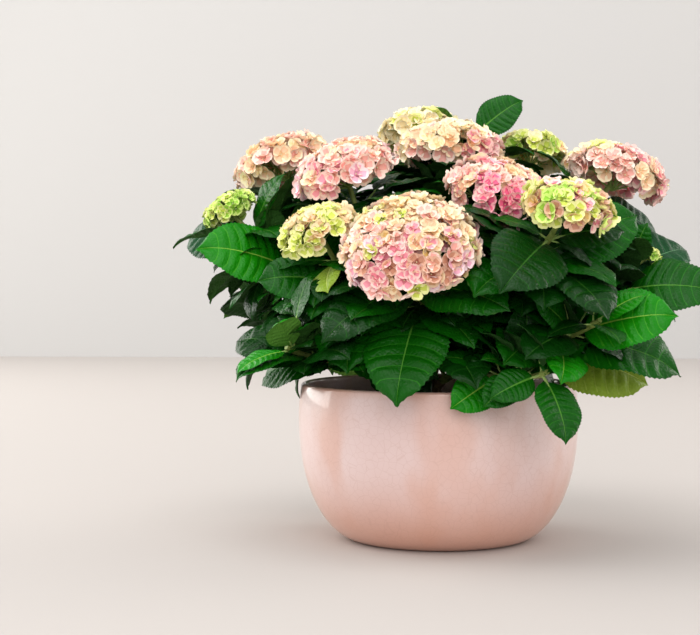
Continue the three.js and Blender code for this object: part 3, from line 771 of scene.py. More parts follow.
class Parts:
    """Vertices, faces and face slots that pile up into one mesh."""

    def __init__(self) -> None:
        """Starts empty."""
        self.points: list[np.ndarray] = []
        self.faces: list[list[int]] = []
        self.slots: list[int] = []
        self.marks: list[np.ndarray] = []
        self.count = 0

    def add(self, points: np.ndarray, faces: list[list[int]], slots: list[int], marks: np.ndarray) -> None:
        """Adds a shape.

        Args:
            points: its points, in millimetres.
            faces: its faces, by point.
            slots: the material slot of each face.
            marks: two numbers a point for the UV map, in millimetres.
        """
        start = self.count
        self.points.append(points)
        self.faces.extend([[corner + start for corner in face] for face in faces])
        self.slots.extend(slots)
        self.marks.append(marks)
        self.count += len(points)

    def mesh(self, name: str, materials: list[bpy.types.Material], uv: str = "") -> bpy.types.Mesh:
        """Args: name: the mesh's; materials: one a slot; uv: a UV map's name. Returns: the mesh."""
        mesh = bpy.data.meshes.new(name)
        mesh.from_pydata((np.concatenate(self.points) * MM).tolist(), [], self.faces)
        for material in materials:
            mesh.materials.append(material)
        mesh.polygons.foreach_set("material_index", self.slots)
        mesh.polygons.foreach_set("use_smooth", [True] * len(self.faces))
        if uv:
            corners = np.zeros(len(mesh.loops), np.int32)
            mesh.loops.foreach_get("vertex_index", corners)
            places = (np.concatenate(self.marks)[corners] * MM).astype(np.float32)
            mesh.uv_layers.new(name=uv).data.foreach_set("uv", places.ravel())
        mesh.set_sharp_from_angle(angle=SHARP_FROM)
        mesh.validate()
        return mesh


def put(name: str, mesh: bpy.types.Mesh, slot: str, *nodes: str) -> bpy.types.Object:
    """Puts a finished mesh into the scene as a piece.

    Args:
        name: the piece's name.
        mesh: its mesh, in place.
        slot: the record's material slot; not used.
        nodes: the solid nodes it stands for.

    Returns:
        The piece.
    """
    piece = bpy.data.objects.new(name, mesh)
    bpy.context.scene.collection.objects.link(piece)
    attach(piece, "root")
    if nodes:
        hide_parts(*nodes)
    LOG.info("%s: %d faces", name, len(mesh.polygons))
    return piece


def new_tree(name: str, sockets: dict[str, str]) -> tuple[bpy.types.NodeTree, bpy.types.Node]:
    """Starts a geometry tree.

    Args:
        name: the tree's name.
        sockets: its inputs after the geometry, by name, with their types.

    Returns:
        The tree and its input node.
    """
    tree = bpy.data.node_groups.new(name, "GeometryNodeTree")
    tree.interface.new_socket("Geometry", in_out="OUTPUT", socket_type="NodeSocketGeometry")
    tree.interface.new_socket("Geometry", in_out="INPUT", socket_type="NodeSocketGeometry")
    for socket, kind in sockets.items():
        tree.interface.new_socket(socket, in_out="INPUT", socket_type=kind)
    return tree, add_node(tree, "NodeGroupInput")


def grown(
    tree: bpy.types.NodeTree, source: bpy.types.Mesh, inputs: dict[str, object], name: str
) -> bpy.types.Mesh:
    """Runs a geometry tree on a mesh and keeps the result as a plain mesh.

    Args:
        tree: the tree.
        source: the mesh that it starts from.
        inputs: values for its named inputs.
        name: the new mesh's name.

    Returns:
        The plain mesh.
    """
    holder = bpy.data.objects.new(f"{name}_source", source)
    bpy.context.scene.collection.objects.link(holder)
    modifier = holder.modifiers.new(tree.name, "NODES")
    modifier.node_group = tree
    for item in tree.interface.items_tree:
        if item.in_out == "INPUT" and item.name in inputs:
            modifier[item.identifier] = inputs[item.name]
    graph = bpy.context.evaluated_depsgraph_get()
    mesh = bpy.data.meshes.new_from_object(holder.evaluated_get(graph), depsgraph=graph)
    mesh.name = name
    holder.modifiers.remove(modifier)
    bpy.data.objects.remove(holder)
    bpy.data.meshes.remove(source)
    return mesh


class Tubes:
    """Round tapering limbs that follow paths, each path a row of points with radii."""

    def __init__(self) -> None:
        """Starts with no path."""
        self.points: list[np.ndarray] = []
        self.radii: list[np.ndarray] = []

    def follow(self, points: np.ndarray, radii: np.ndarray) -> None:
        """Args: points: a path, in millimetres; radii: its radius at each."""
        self.points.append(np.asarray(points, float))
        self.radii.append(np.broadcast_to(np.asarray(radii, float), len(points)))

    def source(self) -> bpy.types.Mesh:
        """Returns: the paths as a mesh of edges with a radius at each point, in metres."""
        edges, start = [], 0
        for path in self.points:
            edges.extend((start + i, start + i + 1) for i in range(len(path) - 1))
            start += len(path)
        mesh = bpy.data.meshes.new("paths")
        mesh.from_pydata((np.concatenate(self.points) * MM).tolist(), edges, [])
        radius = mesh.attributes.new("limb_radius", "FLOAT", "POINT")
        radius.data.foreach_set("value", (np.concatenate(self.radii) * MM).astype(np.float32))
        return mesh

    @staticmethod
    def tree() -> bpy.types.NodeTree:
        """Returns: the tree that skins paths with a round section and roughens it along its normal."""
        name = "limbs_along_paths"
        if name in bpy.data.node_groups:
            return bpy.data.node_groups[name]
        tree, given = new_tree(
            name,
            {
                "Sides": "NodeSocketInt", "Relief": "NodeSocketFloat", "Grain": "NodeSocketFloat",
                "Bark": "NodeSocketMaterial",
            },
        )
        curve = add_node(tree, "GeometryNodeMeshToCurve", {"Mesh": given})
        radius = add_node(tree, "GeometryNodeInputNamedAttribute", {"Name": "limb_radius"}, data_type="FLOAT")
        section = add_node(
            tree, "GeometryNodeCurvePrimitiveCircle", {"Resolution": given.outputs["Sides"], "Radius": 1.0}
        )
        skin = add_node(
            tree, "GeometryNodeCurveToMesh",
            {"Curve": curve, "Profile Curve": section, "Scale": radius, "Fill Caps": True},
        )
        noise = add_node(tree, "ShaderNodeTexNoise", {"Scale": given.outputs["Grain"], "Detail": 3.0})
        centred = add_node(tree, "ShaderNodeMath", {0: noise, 1: 0.5}, operation="SUBTRACT")
        height = add_node(
            tree, "ShaderNodeMath", {0: centred, 1: given.outputs["Relief"]}, operation="MULTIPLY"
        )
        normal = add_node(tree, "GeometryNodeInputNormal")
        push = add_node(tree, "ShaderNodeVectorMath", {0: normal, "Scale": height}, operation="SCALE")
        rough = add_node(tree, "GeometryNodeSetPosition", {"Geometry": skin, "Offset": push})
        smooth = add_node(tree, "GeometryNodeSetShadeSmooth", {"Geometry": rough})
        real = add_node(tree, "GeometryNodeRealizeInstances", {"Geometry": smooth})
        dressed = add_node(
            tree, "GeometryNodeSetMaterial", {"Geometry": real, "Material": given.outputs["Bark"]}
        )
        add_node(tree, "NodeGroupOutput", {0: dressed})
        return tree

    def mesh(
        self, name: str, finish: Finish, sides: int, relief_mm: float = 0.0, grain_mm: float = 4.0
    ) -> bpy.types.Mesh:
        """Grows the limbs.

        Args:
            name: the mesh's name.
            finish: what they are covered with.
            sides: how many sides the section has.
            relief_mm: how rough the bark is.
            grain_mm: how far apart its bumps are.

        Returns:
            The limbs as one plain mesh.
        """
        inputs = {
            "Sides": sides, "Relief": relief_mm * MM, "Grain": 1 / (grain_mm * MM), "Bark": finish.material(),
        }
        return grown(self.tree(), self.source(), inputs, name)


@dataclass
class Planter:
    """The round bowl, swelling from its foot to a belly just under the mouth."""

    foot_radius: float = 84
    belly_radius: float = 139
    belly_height: float = 120
    mouth_radius: float = 136.5
    height: float = 155
    wall: float = 6
    floor: float = 10
    swell_power: float = 2.2
    swell_root: float = 0.58
    sides: int = 144
    rows: int = 44
    crowding: float = 1.7
    hub: float = 30.0
    glaze: Finish = field(default_factory=GlazedStoneware)

    def radius(self, height: float) -> float:
        """Returns: the bowl's outer radius at a height."""
        if height > self.belly_height:
            past = (height - self.belly_height) / (self.height - self.belly_height)
            return self.belly_radius - (self.belly_radius - self.mouth_radius) * past**2
        below = 1 - height / self.belly_height
        swell = (1 - below**self.swell_power) ** self.swell_root
        return self.foot_radius + (self.belly_radius - self.foot_radius) * swell

    def profile(self) -> np.ndarray:
        """Returns: radius and height round the wall's section, from the middle of the underside."""
        lip = self.wall / 2
        shoulder = self.height - lip
        rises = shoulder * np.linspace(0, 1, self.rows) ** self.crowding
        outside = [(self.radius(z), z) for z in rises]
        outside[0] = (self.foot_radius - 1.0, 0.0)
        middle = self.radius(shoulder) - lip
        turns = np.radians(range(18, 180, 18))
        arc = [(middle + lip * math.cos(turn), shoulder + lip * math.sin(turn)) for turn in turns]
        falls = [z for z in rises[::-2] if z > self.floor + 1]
        inside = [(self.radius(z) - self.wall, z) for z in falls]
        floor = [(self.radius(self.floor) - self.wall - 4, self.floor), (self.hub, self.floor)]
        return np.array([(self.hub, 0.0), *outside, *arc, *inside, *floor])

    def build(self) -> bpy.types.Object:
        """Returns: the planter's piece."""
        profile = self.profile()
        turns = np.arange(self.sides) * 2 * math.pi / self.sides
        rows = len(profile)
        points = np.stack(
            [
                profile[:, :1] * np.cos(turns), profile[:, :1] * np.sin(turns),
                np.repeat(profile[:, 1:], self.sides, axis=1),
            ],
            axis=2,
        ).reshape(-1, 3)
        points = np.vstack([points, [[0, 0, 0], [0, 0, self.floor]]])
        faces, under, over = [], rows * self.sides, rows * self.sides + 1
        for k in range(self.sides):
            n = (k + 1) % self.sides
            for row in range(rows - 1):
                a, b = row * self.sides, (row + 1) * self.sides
                faces.append([a + k, a + n, b + n, b + k])
            faces.append([under, n, k])
            faces.append([over, (rows - 1) * self.sides + k, (rows - 1) * self.sides + n])
        parts = Parts()
        parts.add(points, faces, [0] * len(faces), points[:, :2])
        mesh = parts.mesh("planter_bowl", [self.glaze.material()])
        return put("planter_bowl", mesh, "blush_glaze", "planter")


@dataclass
class PottingMix:
    """Damp peat mix that fills the planter, with bark chips on it."""

    planter: Planter
    top: float = SOIL_TOP
    bottom: float = 10.5
    sides: int = 96
    waves: int = 14
    wave_mm: float = 3.0
    sunk_mm: float = 0.8
    chips: int = 1500
    chip_mm: float = 3.4
    strewn_radius: float = 120

    def bed(self) -> bpy.types.Mesh:
        """Returns: the mix as a closed mesh with an uneven top."""
        inner = self.planter.wall + 0.5
        edge = self.planter.radius(self.top - 6) - inner
        low = self.planter.radius(self.planter.floor) - inner - 5
        rings = [(low * 0.5, self.bottom), (low, self.bottom)]
        rings += [(self.planter.radius(z) - inner, z) for z in (20, 34, 55, 80, 110)]
        rings += [(edge - 0.4, self.top - 6), (edge - 4, self.top - 1.5)]
        rings += [(r, self.top) for r in np.linspace(edge - 12, 6, 26)]
        sides, dice = self.sides, Dice(77)
        waves = [(dice.roll() * 0.09 + 0.03, dice.roll() * 6.3, dice.roll() * 6.3) for _ in range(self.waves)]
        points = []
        for radius, z in rings:
            for k in range(sides):
                turn = 2 * math.pi * k / sides
                x, y = radius * math.cos(turn), radius * math.sin(turn)
                crests = (math.sin(w * (x * math.cos(a) + y * math.sin(a)) + p) for w, a, p in waves)
                wave = sum(crests) / self.waves
                points.append((x, y, z + (wave * self.wave_mm - self.sunk_mm if z >= self.top else 0)))
        points += [(0, 0, self.bottom), (0, 0, self.top - 0.5)]
        faces, last = [], (len(rings) - 1) * sides
        for k in range(sides):
            n = (k + 1) % sides
            for low_ring in range(0, last, sides):
                high_ring = low_ring + sides
                faces.append([low_ring + k, low_ring + n, high_ring + n, high_ring + k])
            faces += [[len(points) - 2, n, k], [len(points) - 1, last + k, last + n]]
        parts = Parts()
        array = np.array(points, float)
        parts.add(array, faces, [0] * len(faces), array[:, :2])
        return parts.mesh("mix_bed", [PEAT.material()])

    def chip_tree(self) -> bpy.types.NodeTree:
        """Returns: the tree that strews bark chips over the faces that look up."""
        tree, given = new_tree(
            "bark_chips_on_the_mix",
            {
                "Density": "NodeSocketFloat", "Chip Size": "NodeSocketFloat", "Seed": "NodeSocketInt",
                "Bark": "NodeSocketMaterial",
            },
        )
        normal = add_node(tree, "GeometryNodeInputNormal")
        facing = add_node(tree, "ShaderNodeSeparateXYZ", {0: normal})
        top = add_node(
            tree, "FunctionNodeCompare", {0: facing.outputs["Z"], 1: 0.6},
            data_type="FLOAT", operation="GREATER_THAN",
        )
        dots = add_node(
            tree, "GeometryNodeDistributePointsOnFaces",
            {
                "Mesh": given, "Selection": top, "Density": given.outputs["Density"],
                "Seed": given.outputs["Seed"],
            },
        )
        chip = add_node(tree, "GeometryNodeMeshIcoSphere", {"Radius": 0.5, "Subdivisions": 1})
        turn = add_node(
            tree, "FunctionNodeRandomValue",
            {0: (0.0, 0.0, 0.0), 1: (6.28, 6.28, 6.28), "Seed": given.outputs["Seed"]},
            data_type="FLOAT_VECTOR",
        )
        spin = add_node(tree, "FunctionNodeEulerToRotation", {0: turn})
        shape = add_node(
            tree, "FunctionNodeRandomValue",
            {0: (0.5, 0.5, 0.25), 1: (2.0, 1.2, 0.6), "Seed": given.outputs["Seed"]},
            data_type="FLOAT_VECTOR",
        )
        size = add_node(
            tree, "ShaderNodeVectorMath", {0: shape, "Scale": given.outputs["Chip Size"]}, operation="SCALE"
        )
        strewn = add_node(
            tree, "GeometryNodeInstanceOnPoints",
            {"Points": dots, "Instance": chip, "Rotation": spin, "Scale": size},
        )
        real = add_node(tree, "GeometryNodeRealizeInstances", {"Geometry": strewn})
        dressed = add_node(
            tree, "GeometryNodeSetMaterial", {"Geometry": real, "Material": given.outputs["Bark"]}
        )
        add_node(tree, "NodeGroupOutput", {0: dressed})
        return tree

    def build(self) -> list[bpy.types.Object]:
        """Returns: the bed's and the chips' pieces."""
        bed = self.bed()
        area = math.pi * (self.strewn_radius * MM) ** 2
        inputs = {
            "Density": self.chips / area, "Chip Size": self.chip_mm * MM, "Seed": 5,
            "Bark": BARK_CHIP.material(),
        }
        chips = grown(self.chip_tree(), bed.copy(), inputs, "mix_bark_chips")
        return [
            put("mix_bed", bed, "potting_mix", "potting_mix"),
            put("mix_bark_chips", chips, "potting_mix"),
        ]


class Limbs:
    """Woody stems, green canes, leafy stems, flower stalks and petioles."""

    ROOTED, ROW_MM, CANE_ROW_MM = 5, 3, 2.5
    ARM_SWELL, STALK_INTO_HEAD = 0.15, 0.6
    JOINT_FIRST, JOINT_SPACING, JOINT_LOWEST, JOINT_AT_FORK = 16, 34, 14, 6
    JOINT_SWELL, JOINT_REACH = 0.24, 3.2
    PETIOLE_INTO_BLADE = (0.05, 0.14)
    PETIOLE_TAPER = np.array([1.15, 0.95, 0.9, 0.8, 0.35])
    PETIOLE_DEPTH, FULL_PETIOLE_LEAF = -0.7, 70

    def __init__(self, courses: list[Course]) -> None:
        """Args: courses: every shoot's, marked."""
        self.courses = courses
        self.wood, self.canes, self.petioles = Tubes(), Tubes(), Tubes()

    @staticmethod
    def row(course: Course, start: float, end: float, step: float) -> tuple[np.ndarray, np.ndarray]:
        """Returns: points on a course about a step apart, and how far along each one is."""
        count = max(3, round((end - start) / step) + 1)
        along = np.linspace(start, end, count)
        return np.array([course.station(d).place for d in along]), along

    def joints_of(self, course: Course) -> np.ndarray:
        """Returns: the distances where a cane or leafy stem has its swollen joints."""
        first, last = course.start - self.JOINT_FIRST, course.fork + self.JOINT_LOWEST
        cane = np.arange(first, last, -self.JOINT_SPACING)
        return np.array([*course.pair_places(), *cane, course.fork + self.JOINT_AT_FORK])

    def grow(self) -> None:
        """Lays the paths of the stems, canes, leafy stems and stalks."""
        for stem in STEM_FEET:
            own = of_stem(self.courses, stem)
            fork = own[0].fork
            heights = np.linspace(0, fork * 0.45 + 2, 14)
            radii = STEM_RADIUS + (STEM_FOOT_RADIUS - STEM_RADIUS) * np.exp(-heights / FLARE_REACH)
            foot = own[0].corners[0]
            self.wood.follow(foot + np.outer(heights, UP), radii)
            for course in own:
                points, along = self.row(course, self.ROOTED, fork, self.ROW_MM)
                risen = (along - self.ROOTED) / (fork - self.ROOTED)
                self.wood.follow(points, ARM_RADIUS * (1 + self.ARM_SWELL - self.ARM_SWELL * risen))
        for course in self.courses:
            start = course.fork + GAP
            points, along = self.row(course, start, course.top, self.CANE_ROW_MM)
            cane_end = course.start if course.caned else start
            cane = np.interp(along, [start, max(cane_end, start + 0.01)], [CANE_RADIUS, CANE_TIP_RADIUS])
            leafy = np.interp(along, [cane_end, course.top], [CANE_TIP_RADIUS, SHOOT_TIP_RADIUS])
            radii = np.where(along < cane_end, cane, leafy)
            for joint in self.joints_of(course):
                radii = radii * (1 + self.JOINT_SWELL * np.exp(-(((along - joint) / self.JOINT_REACH) ** 2)))
            self.canes.follow(points, radii)
            if course.headed:
                end = course.length - HEAD_UNDER * course.shoot.radius * self.STALK_INTO_HEAD
                points, _ = self.row(course, course.top, end, self.ROW_MM)
                self.canes.follow(points, STALK_RADIUS)

    def petiole(self, leaf: Leaf) -> None:
        """Args: leaf: whose petiole runs from the middle of its stem to a little under its blade."""
        size = min(1.0, leaf.length / self.FULL_PETIOLE_LEAF)
        under = leaf.surface(self.PETIOLE_INTO_BLADE, (0, 0), self.PETIOLE_DEPTH)
        path = [leaf.root, leaf.root * 0.5 + leaf.base * 0.5, leaf.base, *under]
        self.petioles.follow(np.array(path), PETIOLE_RADIUS * size * self.PETIOLE_TAPER)

    def build(self) -> list[bpy.types.Object]:
        """Returns: the pieces of the stems, canes and petioles."""
        stems = [f"stem_{name}" for name in STEM_FEET]
        canes = [f"cane_{course.shoot.name}" for course in self.courses if course.caned]
        wood = self.wood.mesh("woody_stems", OLD_WOOD, 14, 0.9, 3.0)
        green = self.canes.mesh("green_canes", GREEN_BARK, 9, 0.3, 5.0)
        return [
            put("woody_stems", wood, "woody_stem", *stems),
            put("green_canes", green, "green_cane", *canes),
            put("petioles", self.petioles.mesh("petioles", LEAF_STALK, 6), "green_cane"),
        ]


@dataclass
class BladePattern:
    """How a leaf's blade is drawn: veins with quilted blade between them, and a toothed margin."""

    veins: int = 7
    between: int = 3
    across: tuple[float, ...] = (0.0, 0.03, 0.2, 0.42, 0.66, 0.87, 1.0)
    tooth_mm: float = 1.5
    quilt: float = 0.026
    curl: float = 0.5
    curl_from: float = 0.68
    thickness: float = 0.34
    vein_width: float = 0.0042
    vein_lead: float = 0.17
    lead_within: float = 0.08
    first: float = 0.002
    last: float = 0.9985
    ripple: float = 0.017
    ripples: float = 2.1
    midrib_mm: tuple[float, float] = (0.5, 1.05)
    ridge_mm: float = 0.7
    vein_ridge_mm: float = 0.22

    def __post_init__(self) -> None:
        """Works out the rows and the faces, which every leaf shares."""
        width = self.vein_width
        centres = [0.06 + 0.78 * ((k + 0.35) / self.veins) ** 1.08 for k in range(self.veins)]
        rows: list[tuple[float, float]] = [(self.first, 0.0), (centres[0] * 0.45, 0.6)]
        self.vein_rows = []
        for k, centre in enumerate(centres):
            self.vein_rows.append(len(rows))
            rows += [(centre - width, 0.0), (centre + width, 0.0)]
            following = centres[k + 1] - width if k + 1 < self.veins else self.last
            gap = following - centre - width
            steps = self.between if k + 1 < self.veins else self.between + 2
            for n in range(1, steps + 1):
                share = n / (steps + 1)
                rows.append((centre + width + gap * share, math.sin(math.pi * share)))
        rows.append((self.last, 0.0))
        self.shares = np.array([row[0] for row in rows])
        self.swell = np.array([row[1] for row in rows])
        half = np.array(self.across)
        self.edges = np.concatenate([-half[:0:-1], half])
        self._faces()

    def _faces(self) -> None:
        """Numbers the shell: the upper skin, then the lower skin's points inside the margin."""
        rows, wide = len(self.shares), len(self.edges)
        upper = np.arange(rows * wide).reshape(rows, wide)
        lower = upper.copy()
        lower[:, 1:-1] = rows * wide + np.arange(rows * (wide - 2)).reshape(rows, wide - 2)
        middle = wide // 2
        faces, slots = [], []
        for i in range(rows - 1):
            for k in range(wide - 1):
                vein = i in self.vein_rows and 0 < k < wide - 2
                faces.append([upper[i, k], upper[i, k + 1], upper[i + 1, k + 1], upper[i + 1, k]])
                slots.append(2 if k in (middle - 1, middle) else 1 if vein else 0)
                faces.append([lower[i, k], lower[i + 1, k], lower[i + 1, k + 1], lower[i, k + 1]])
                slots.append(3)
        for i, turn in ((0, 1), (rows - 1, -1)):
            for k in range(wide - 1):
                ring = [upper[i, k], lower[i, k], lower[i, k + 1], upper[i, k + 1]][::turn]
                faces.append(list(dict.fromkeys(int(corner) for corner in ring)))
                slots.append(0)
        self.faces = [[int(corner) for corner in face] for face in faces]
        self.slots = slots

    def lead(self, share: np.ndarray) -> np.ndarray:
        """Returns: how far forward the margin is of the midrib, as veins slant that way."""
        return self.vein_lead * np.minimum(1, share / self.lead_within) * (1 - share)

    def draw(self, leaf: Leaf, parts: Parts, tones: list[Tone], wave: float) -> None:
        """Draws one leaf.

        Args:
            leaf: where it is.
            parts: what it is added to.
            tones: the leaf colours of the piece's slots, four slots each.
            wave: where the margin's ripple starts, in radians.
        """
        rows = len(self.shares)
        edge = np.abs(self.edges)[None, :]
        share = self.shares[:, None]
        even = np.linspace(0, 1, rows)[:, None]
        margin = np.minimum(even + self.lead(even), self.last)
        blend = edge**6
        along = (share + self.lead(share) * edge**1.15) * (1 - blend) + margin * blend
        along = np.clip(along, self.first, self.last)
        half = leaf.half_width(along, 1)
        sides = np.sign(self.edges)[None, :] * edge
        most, wide_mm = self.midrib_mm
        midrib = np.minimum(most, wide_mm * (1.05 - along) / np.maximum(half, 0.2))
        sides = np.where(edge == 0.03, np.sign(self.edges)[None, :] * midrib, sides)
        tooth = np.minimum(self.tooth_mm * leaf.length / 100, 0.3 * half)
        notch = (np.arange(rows)[:, None] % 2 == 1) & (edge == 1)
        sides = np.where(notch, sides * (1 - tooth / np.maximum(half, 0.2)), sides)
        along = np.where((edge == 1) & ~notch, np.clip(along + 0.008, self.first, self.last), along)
        quilt = self.quilt * leaf.length * self.swell[:, None] * np.minimum(1, 2.4 * edge) * (1 - edge**3)
        swing = np.sin(2 * math.pi * self.ripples * along + wave + 1.7 * (sides > 0))
        ripple = self.ripple * leaf.length * swing * edge**2.5
        tip = self.curl * leaf.length * np.maximum(0, along - self.curl_from) ** 2
        relief = quilt + ripple - tip
        upper = leaf.surface(along, sides, relief, 1)
        ridge = np.where(edge < 0.04, self.ridge_mm * (1.1 - share), 0.0)
        on_vein = np.isin(np.arange(rows), [row + step for row in self.vein_rows for step in (0, 1)])
        vein = on_vein[:, None] * self.vein_ridge_mm * (1 - edge)
        lower = leaf.surface(along, sides, relief - (self.thickness + ridge + vein), 1)
        points = np.concatenate([upper.reshape(-1, 3), lower[:, 1:-1].reshape(-1, 3)])
        marks = np.stack([sides * half, along * leaf.length], axis=2)
        marks = np.concatenate([marks.reshape(-1, 2), marks[:, 1:-1].reshape(-1, 2)])
        first = 4 * tones.index(leaf.tone)
        parts.add(points, self.faces, [first + slot for slot in self.slots], marks)


class Foliage:
    """All leaves: those of the solid shoots, and young ones that fill the crown inside them."""

    YOUNG_LOWEST = SOIL_TOP + 36
    YOUNG_TRIES, YOUNG_LEAST, YOUNG_FITS = 4, 24, FITS[:27]
    YOUNG_LIFT, YOUNG_LEVEL, YOUNG_SLOPE, YOUNG_UPWARD = 30, 0.7, 0.05, 0.6
    YOUNG_DROOP, YOUNG_DEEP = 32, 0.5
    # What add_young is called with, in turn: the first two rows are the same leaves, large and small,
    # and the last are long-stalked ones that reach for the light.
    YOUNG = (
        (74, 4.0, 0.84, 1, 4000, 0.16),
        (52, 2.8, 0.76, 0, 4500, 0.16),
        (50, 2.4, 0.7, 0, 5000, 0.62),
    )

    def __init__(self, courses: list[Course], limbs: Limbs, florets: np.ndarray) -> None:
        """Args: courses: every shoot's; limbs: takes the petioles; florets: where florets are."""
        self.courses, self.limbs = courses, limbs
        self.full, self.small = BladePattern(), BladePattern(4, 2, (0.0, 0.03, 0.45, 1.0), tooth_mm=1.8)
        self.leaves = {course.shoot.name: grown_leaves(course) for course in courses}
        self.young: dict[str, list[Leaf]] = {course.shoot.name: [] for course in courses}
        everyone = [leaf for leaves in self.leaves.values() for leaf in leaves]
        self.taken = np.concatenate([florets, *[self.samples(leaf, 8, 5) for leaf in everyone], self.bones()])

    def bones(self) -> np.ndarray:
        """Returns: points along every limb, to keep clear of."""
        return np.array([c.station(d).place for c in self.courses for d in np.arange(0, c.length, 4)])

    @staticmethod
    def samples(leaf: Leaf, along: int, across: int, start: float = 0.15) -> np.ndarray:
        """Returns: points spread over a leaf's blade."""
        share, edge = np.meshgrid(np.linspace(start, 1, along), np.linspace(-0.9, 0.9, across))
        return leaf.surface(share, edge).reshape(-1, 3)

    def clear(self, leaf: Leaf, room: float, reach: float) -> bool:
        """Tries a young leaf.

        Args:
            leaf: the leaf.
            room: how far it has to keep from all that is there, in millimetres.
            reach: how far out it may grow, as a share of the crown's reach.

        Returns:
            Whether it may grow.
        """
        points = self.samples(leaf, 5, 3, 0.3)
        outside = np.linalg.norm((points - CROWN_MIDDLE) / CROWN_REACH, axis=1).max() > reach
        if outside or points[:, 2].min() < self.YOUNG_LOWEST:
            return False
        above = (self.taken > points.min(axis=0) - room).all(axis=1)
        below = (self.taken < points.max(axis=0) + room).all(axis=1)
        near = self.taken[above & below]
        return not len(near) or bool(np.linalg.norm(points[:, None] - near[None], axis=2).min() > room)

    def add_young(
        self, size: float, room: float, reach: float, first: int, seed: int, petiole: float
    ) -> None:
        """Grows young leaves from the joints of leafy stems and canes, where there is room.

        Args:
            size: their usual length, in millimetres.
            room: how far they keep from all that is there, in millimetres.
            reach: how far out they grow, as a share of the crown's reach.
            first: how many joints under the shoot's end stay bare.
            seed: for their bearings.
            petiole: its length, as a share of the leaf's.
        """
        for course in self.courses:
            dice = Dice(seed + course.number)
            for order, joint in enumerate(self.limbs.joints_of(course)[first:]):
                here = course.station(joint)
                facing = here.ahead * (1 - self.YOUNG_UPWARD) + UP * self.YOUNG_UPWARD
                for n in range(self.YOUNG_TRIES):
                    bearing = math.radians(course.shoot.turn + 45 + 90 * (order + n) + dice.spread(30))
                    lift = math.radians(self.YOUNG_LIFT + dice.spread(24))
                    ahead = here.leaf_way(bearing, lift, self.YOUNG_LEVEL, self.YOUNG_SLOPE)
                    length = size * (1 + dice.spread(0.2))
                    droop = math.radians(self.YOUNG_DROOP + dice.spread(8))
                    spot = Spot(here.place, ahead, facing, length, droop, size * petiole)
                    for fit in self.YOUNG_FITS:
                        leaf = spot.leaf(fit)
                        if leaf.length > self.YOUNG_LEAST and self.clear(leaf, room, reach):
                            leaf.tone = Tone.DEEP if dice.roll() < self.YOUNG_DEEP else Tone.GREEN
                            self.young[course.shoot.name].append(leaf)
                            self.taken = np.concatenate([self.taken, self.samples(leaf, 6, 3)])
                            break

    def build(self) -> list[bpy.types.Object]:
        """Returns: the leaves' pieces, one for the shoots of each stem."""
        for young in self.YOUNG:
            self.add_young(*young)
        tones = list(Tone)
        materials = []
        for tone in tones:
            for (part, *skin), colour in zip(LEAF_PARTS, tone.value):
                materials.append(LeafSkin(f"leaf_{tone.name.lower()}_{part}", colour, *skin).material())
        pieces = []
        for stem in STEM_FEET:
            parts, young_parts, nodes = Parts(), Parts(), []
            for course in of_stem(self.courses, stem):
                name = course.shoot.name
                nodes.append(f"foliage_{name}")
                dice = Dice(7000 + course.number)
                for leaves, pattern, kept in (
                    (self.leaves[name], self.full, parts), (self.young[name], self.small, young_parts)
                ):
                    for leaf in leaves:
                        pattern.draw(leaf, kept, tones, dice.roll() * 6.3)
                        self.limbs.petiole(leaf)
            for name, kept, stood_for in (
                (f"leaves_{stem}", parts, nodes), (f"young_leaves_{stem}", young_parts, [])
            ):
                pieces.append(put(name, kept.mesh(name, materials, "blade"), "leaf", *stood_for))
        counts = [sum(map(len, leaves.values())) for leaves in (self.leaves, self.young)]
        LOG.info("%d leaves of the solid shoots and %d young ones", *counts)
        return pieces


@dataclass(frozen=True)
class Blush:
    """How a head is coloured: shares of each tint at its top and at its bottom."""

    upper: dict[Tint, int]
    lower: dict[Tint, int]
    size: float = 1.0


def shares(**weights: int) -> dict[Tint, int]:
    """Returns: how much there is of each tint named."""
    return {Tint[name.upper()]: weight for name, weight in weights.items()}


RIPE = Blush(shares(peach=4, cream=2, blush=4, pink=1), shares(blush=4, pink=4, peach=2))
UNRIPE = Blush(shares(lime=4, cream=3, green=1, ochre=1), shares(lime=2, cream=4, peach=2))
# The clay share in a head's lower colours is partly painted shade for its darker underside.
BLUSHES = {
    "front": Blush(
        shares(buff=6, cream=1, peach=4, lime=1, blush=3, ochre=1),
        shares(blush=5, pink=4, lilac=2, peach=3, buff=3, clay=2, lime=1),
    ),
    "top": Blush(shares(cream=6, peach=4, buff=1, blush=1), shares(peach=4, blush=4, pink=1)),
    "mid_right": Blush(shares(peach=3, blush=4, pink=3, buff=1), shares(pink=5, rose=8, blush=1)),
    "front_right": Blush(
        shares(lime=6, green=2, ochre=2, peach=1), shares(ochre=3, lime=4, clay=1, pink=2)
    ),
    "far_right": Blush(shares(blush=4, peach=3, pink=2, lime=1), shares(pink=4, blush=3, peach=1)),
    "rear_top_right": UNRIPE,
    "rear_right": RIPE,
    "rear_middle": RIPE,
    "rear_top": Blush(shares(cream=7, lime=2), shares(lime=2, cream=5, peach=2)),
    "rear_left": Blush(shares(cream=4, peach=4, lime=1), shares(blush=4, peach=3)),
    "far_left": Blush(shares(peach=4, cream=3, blush=3), shares(blush=5, peach=3, cream=1)),
    "upper_left": Blush(shares(blush=5, peach=3, pink=2), shares(blush=3, pink=4, lilac=2, peach=1)),
    "mid_left": Blush(
        shares(buff=4, lime=4, peach=1, green=1), shares(lime=4, green=2, buff=4, ochre=1)
    ),
    "green_left": Blush(shares(green=5, lime=3), shares(green=5, lime=2), 0.72),
    "bud_right": Blush(shares(lime=5, green=2), shares(green=3, lime=2), 0.6),
}


def leaning(angle: float, turn: float) -> np.ndarray:
    """Returns: the direction at an angle from straight up, turned towards, both in radians."""
    return np.array([math.sin(angle) * math.cos(turn), math.sin(angle) * math.sin(turn), math.cos(angle)])


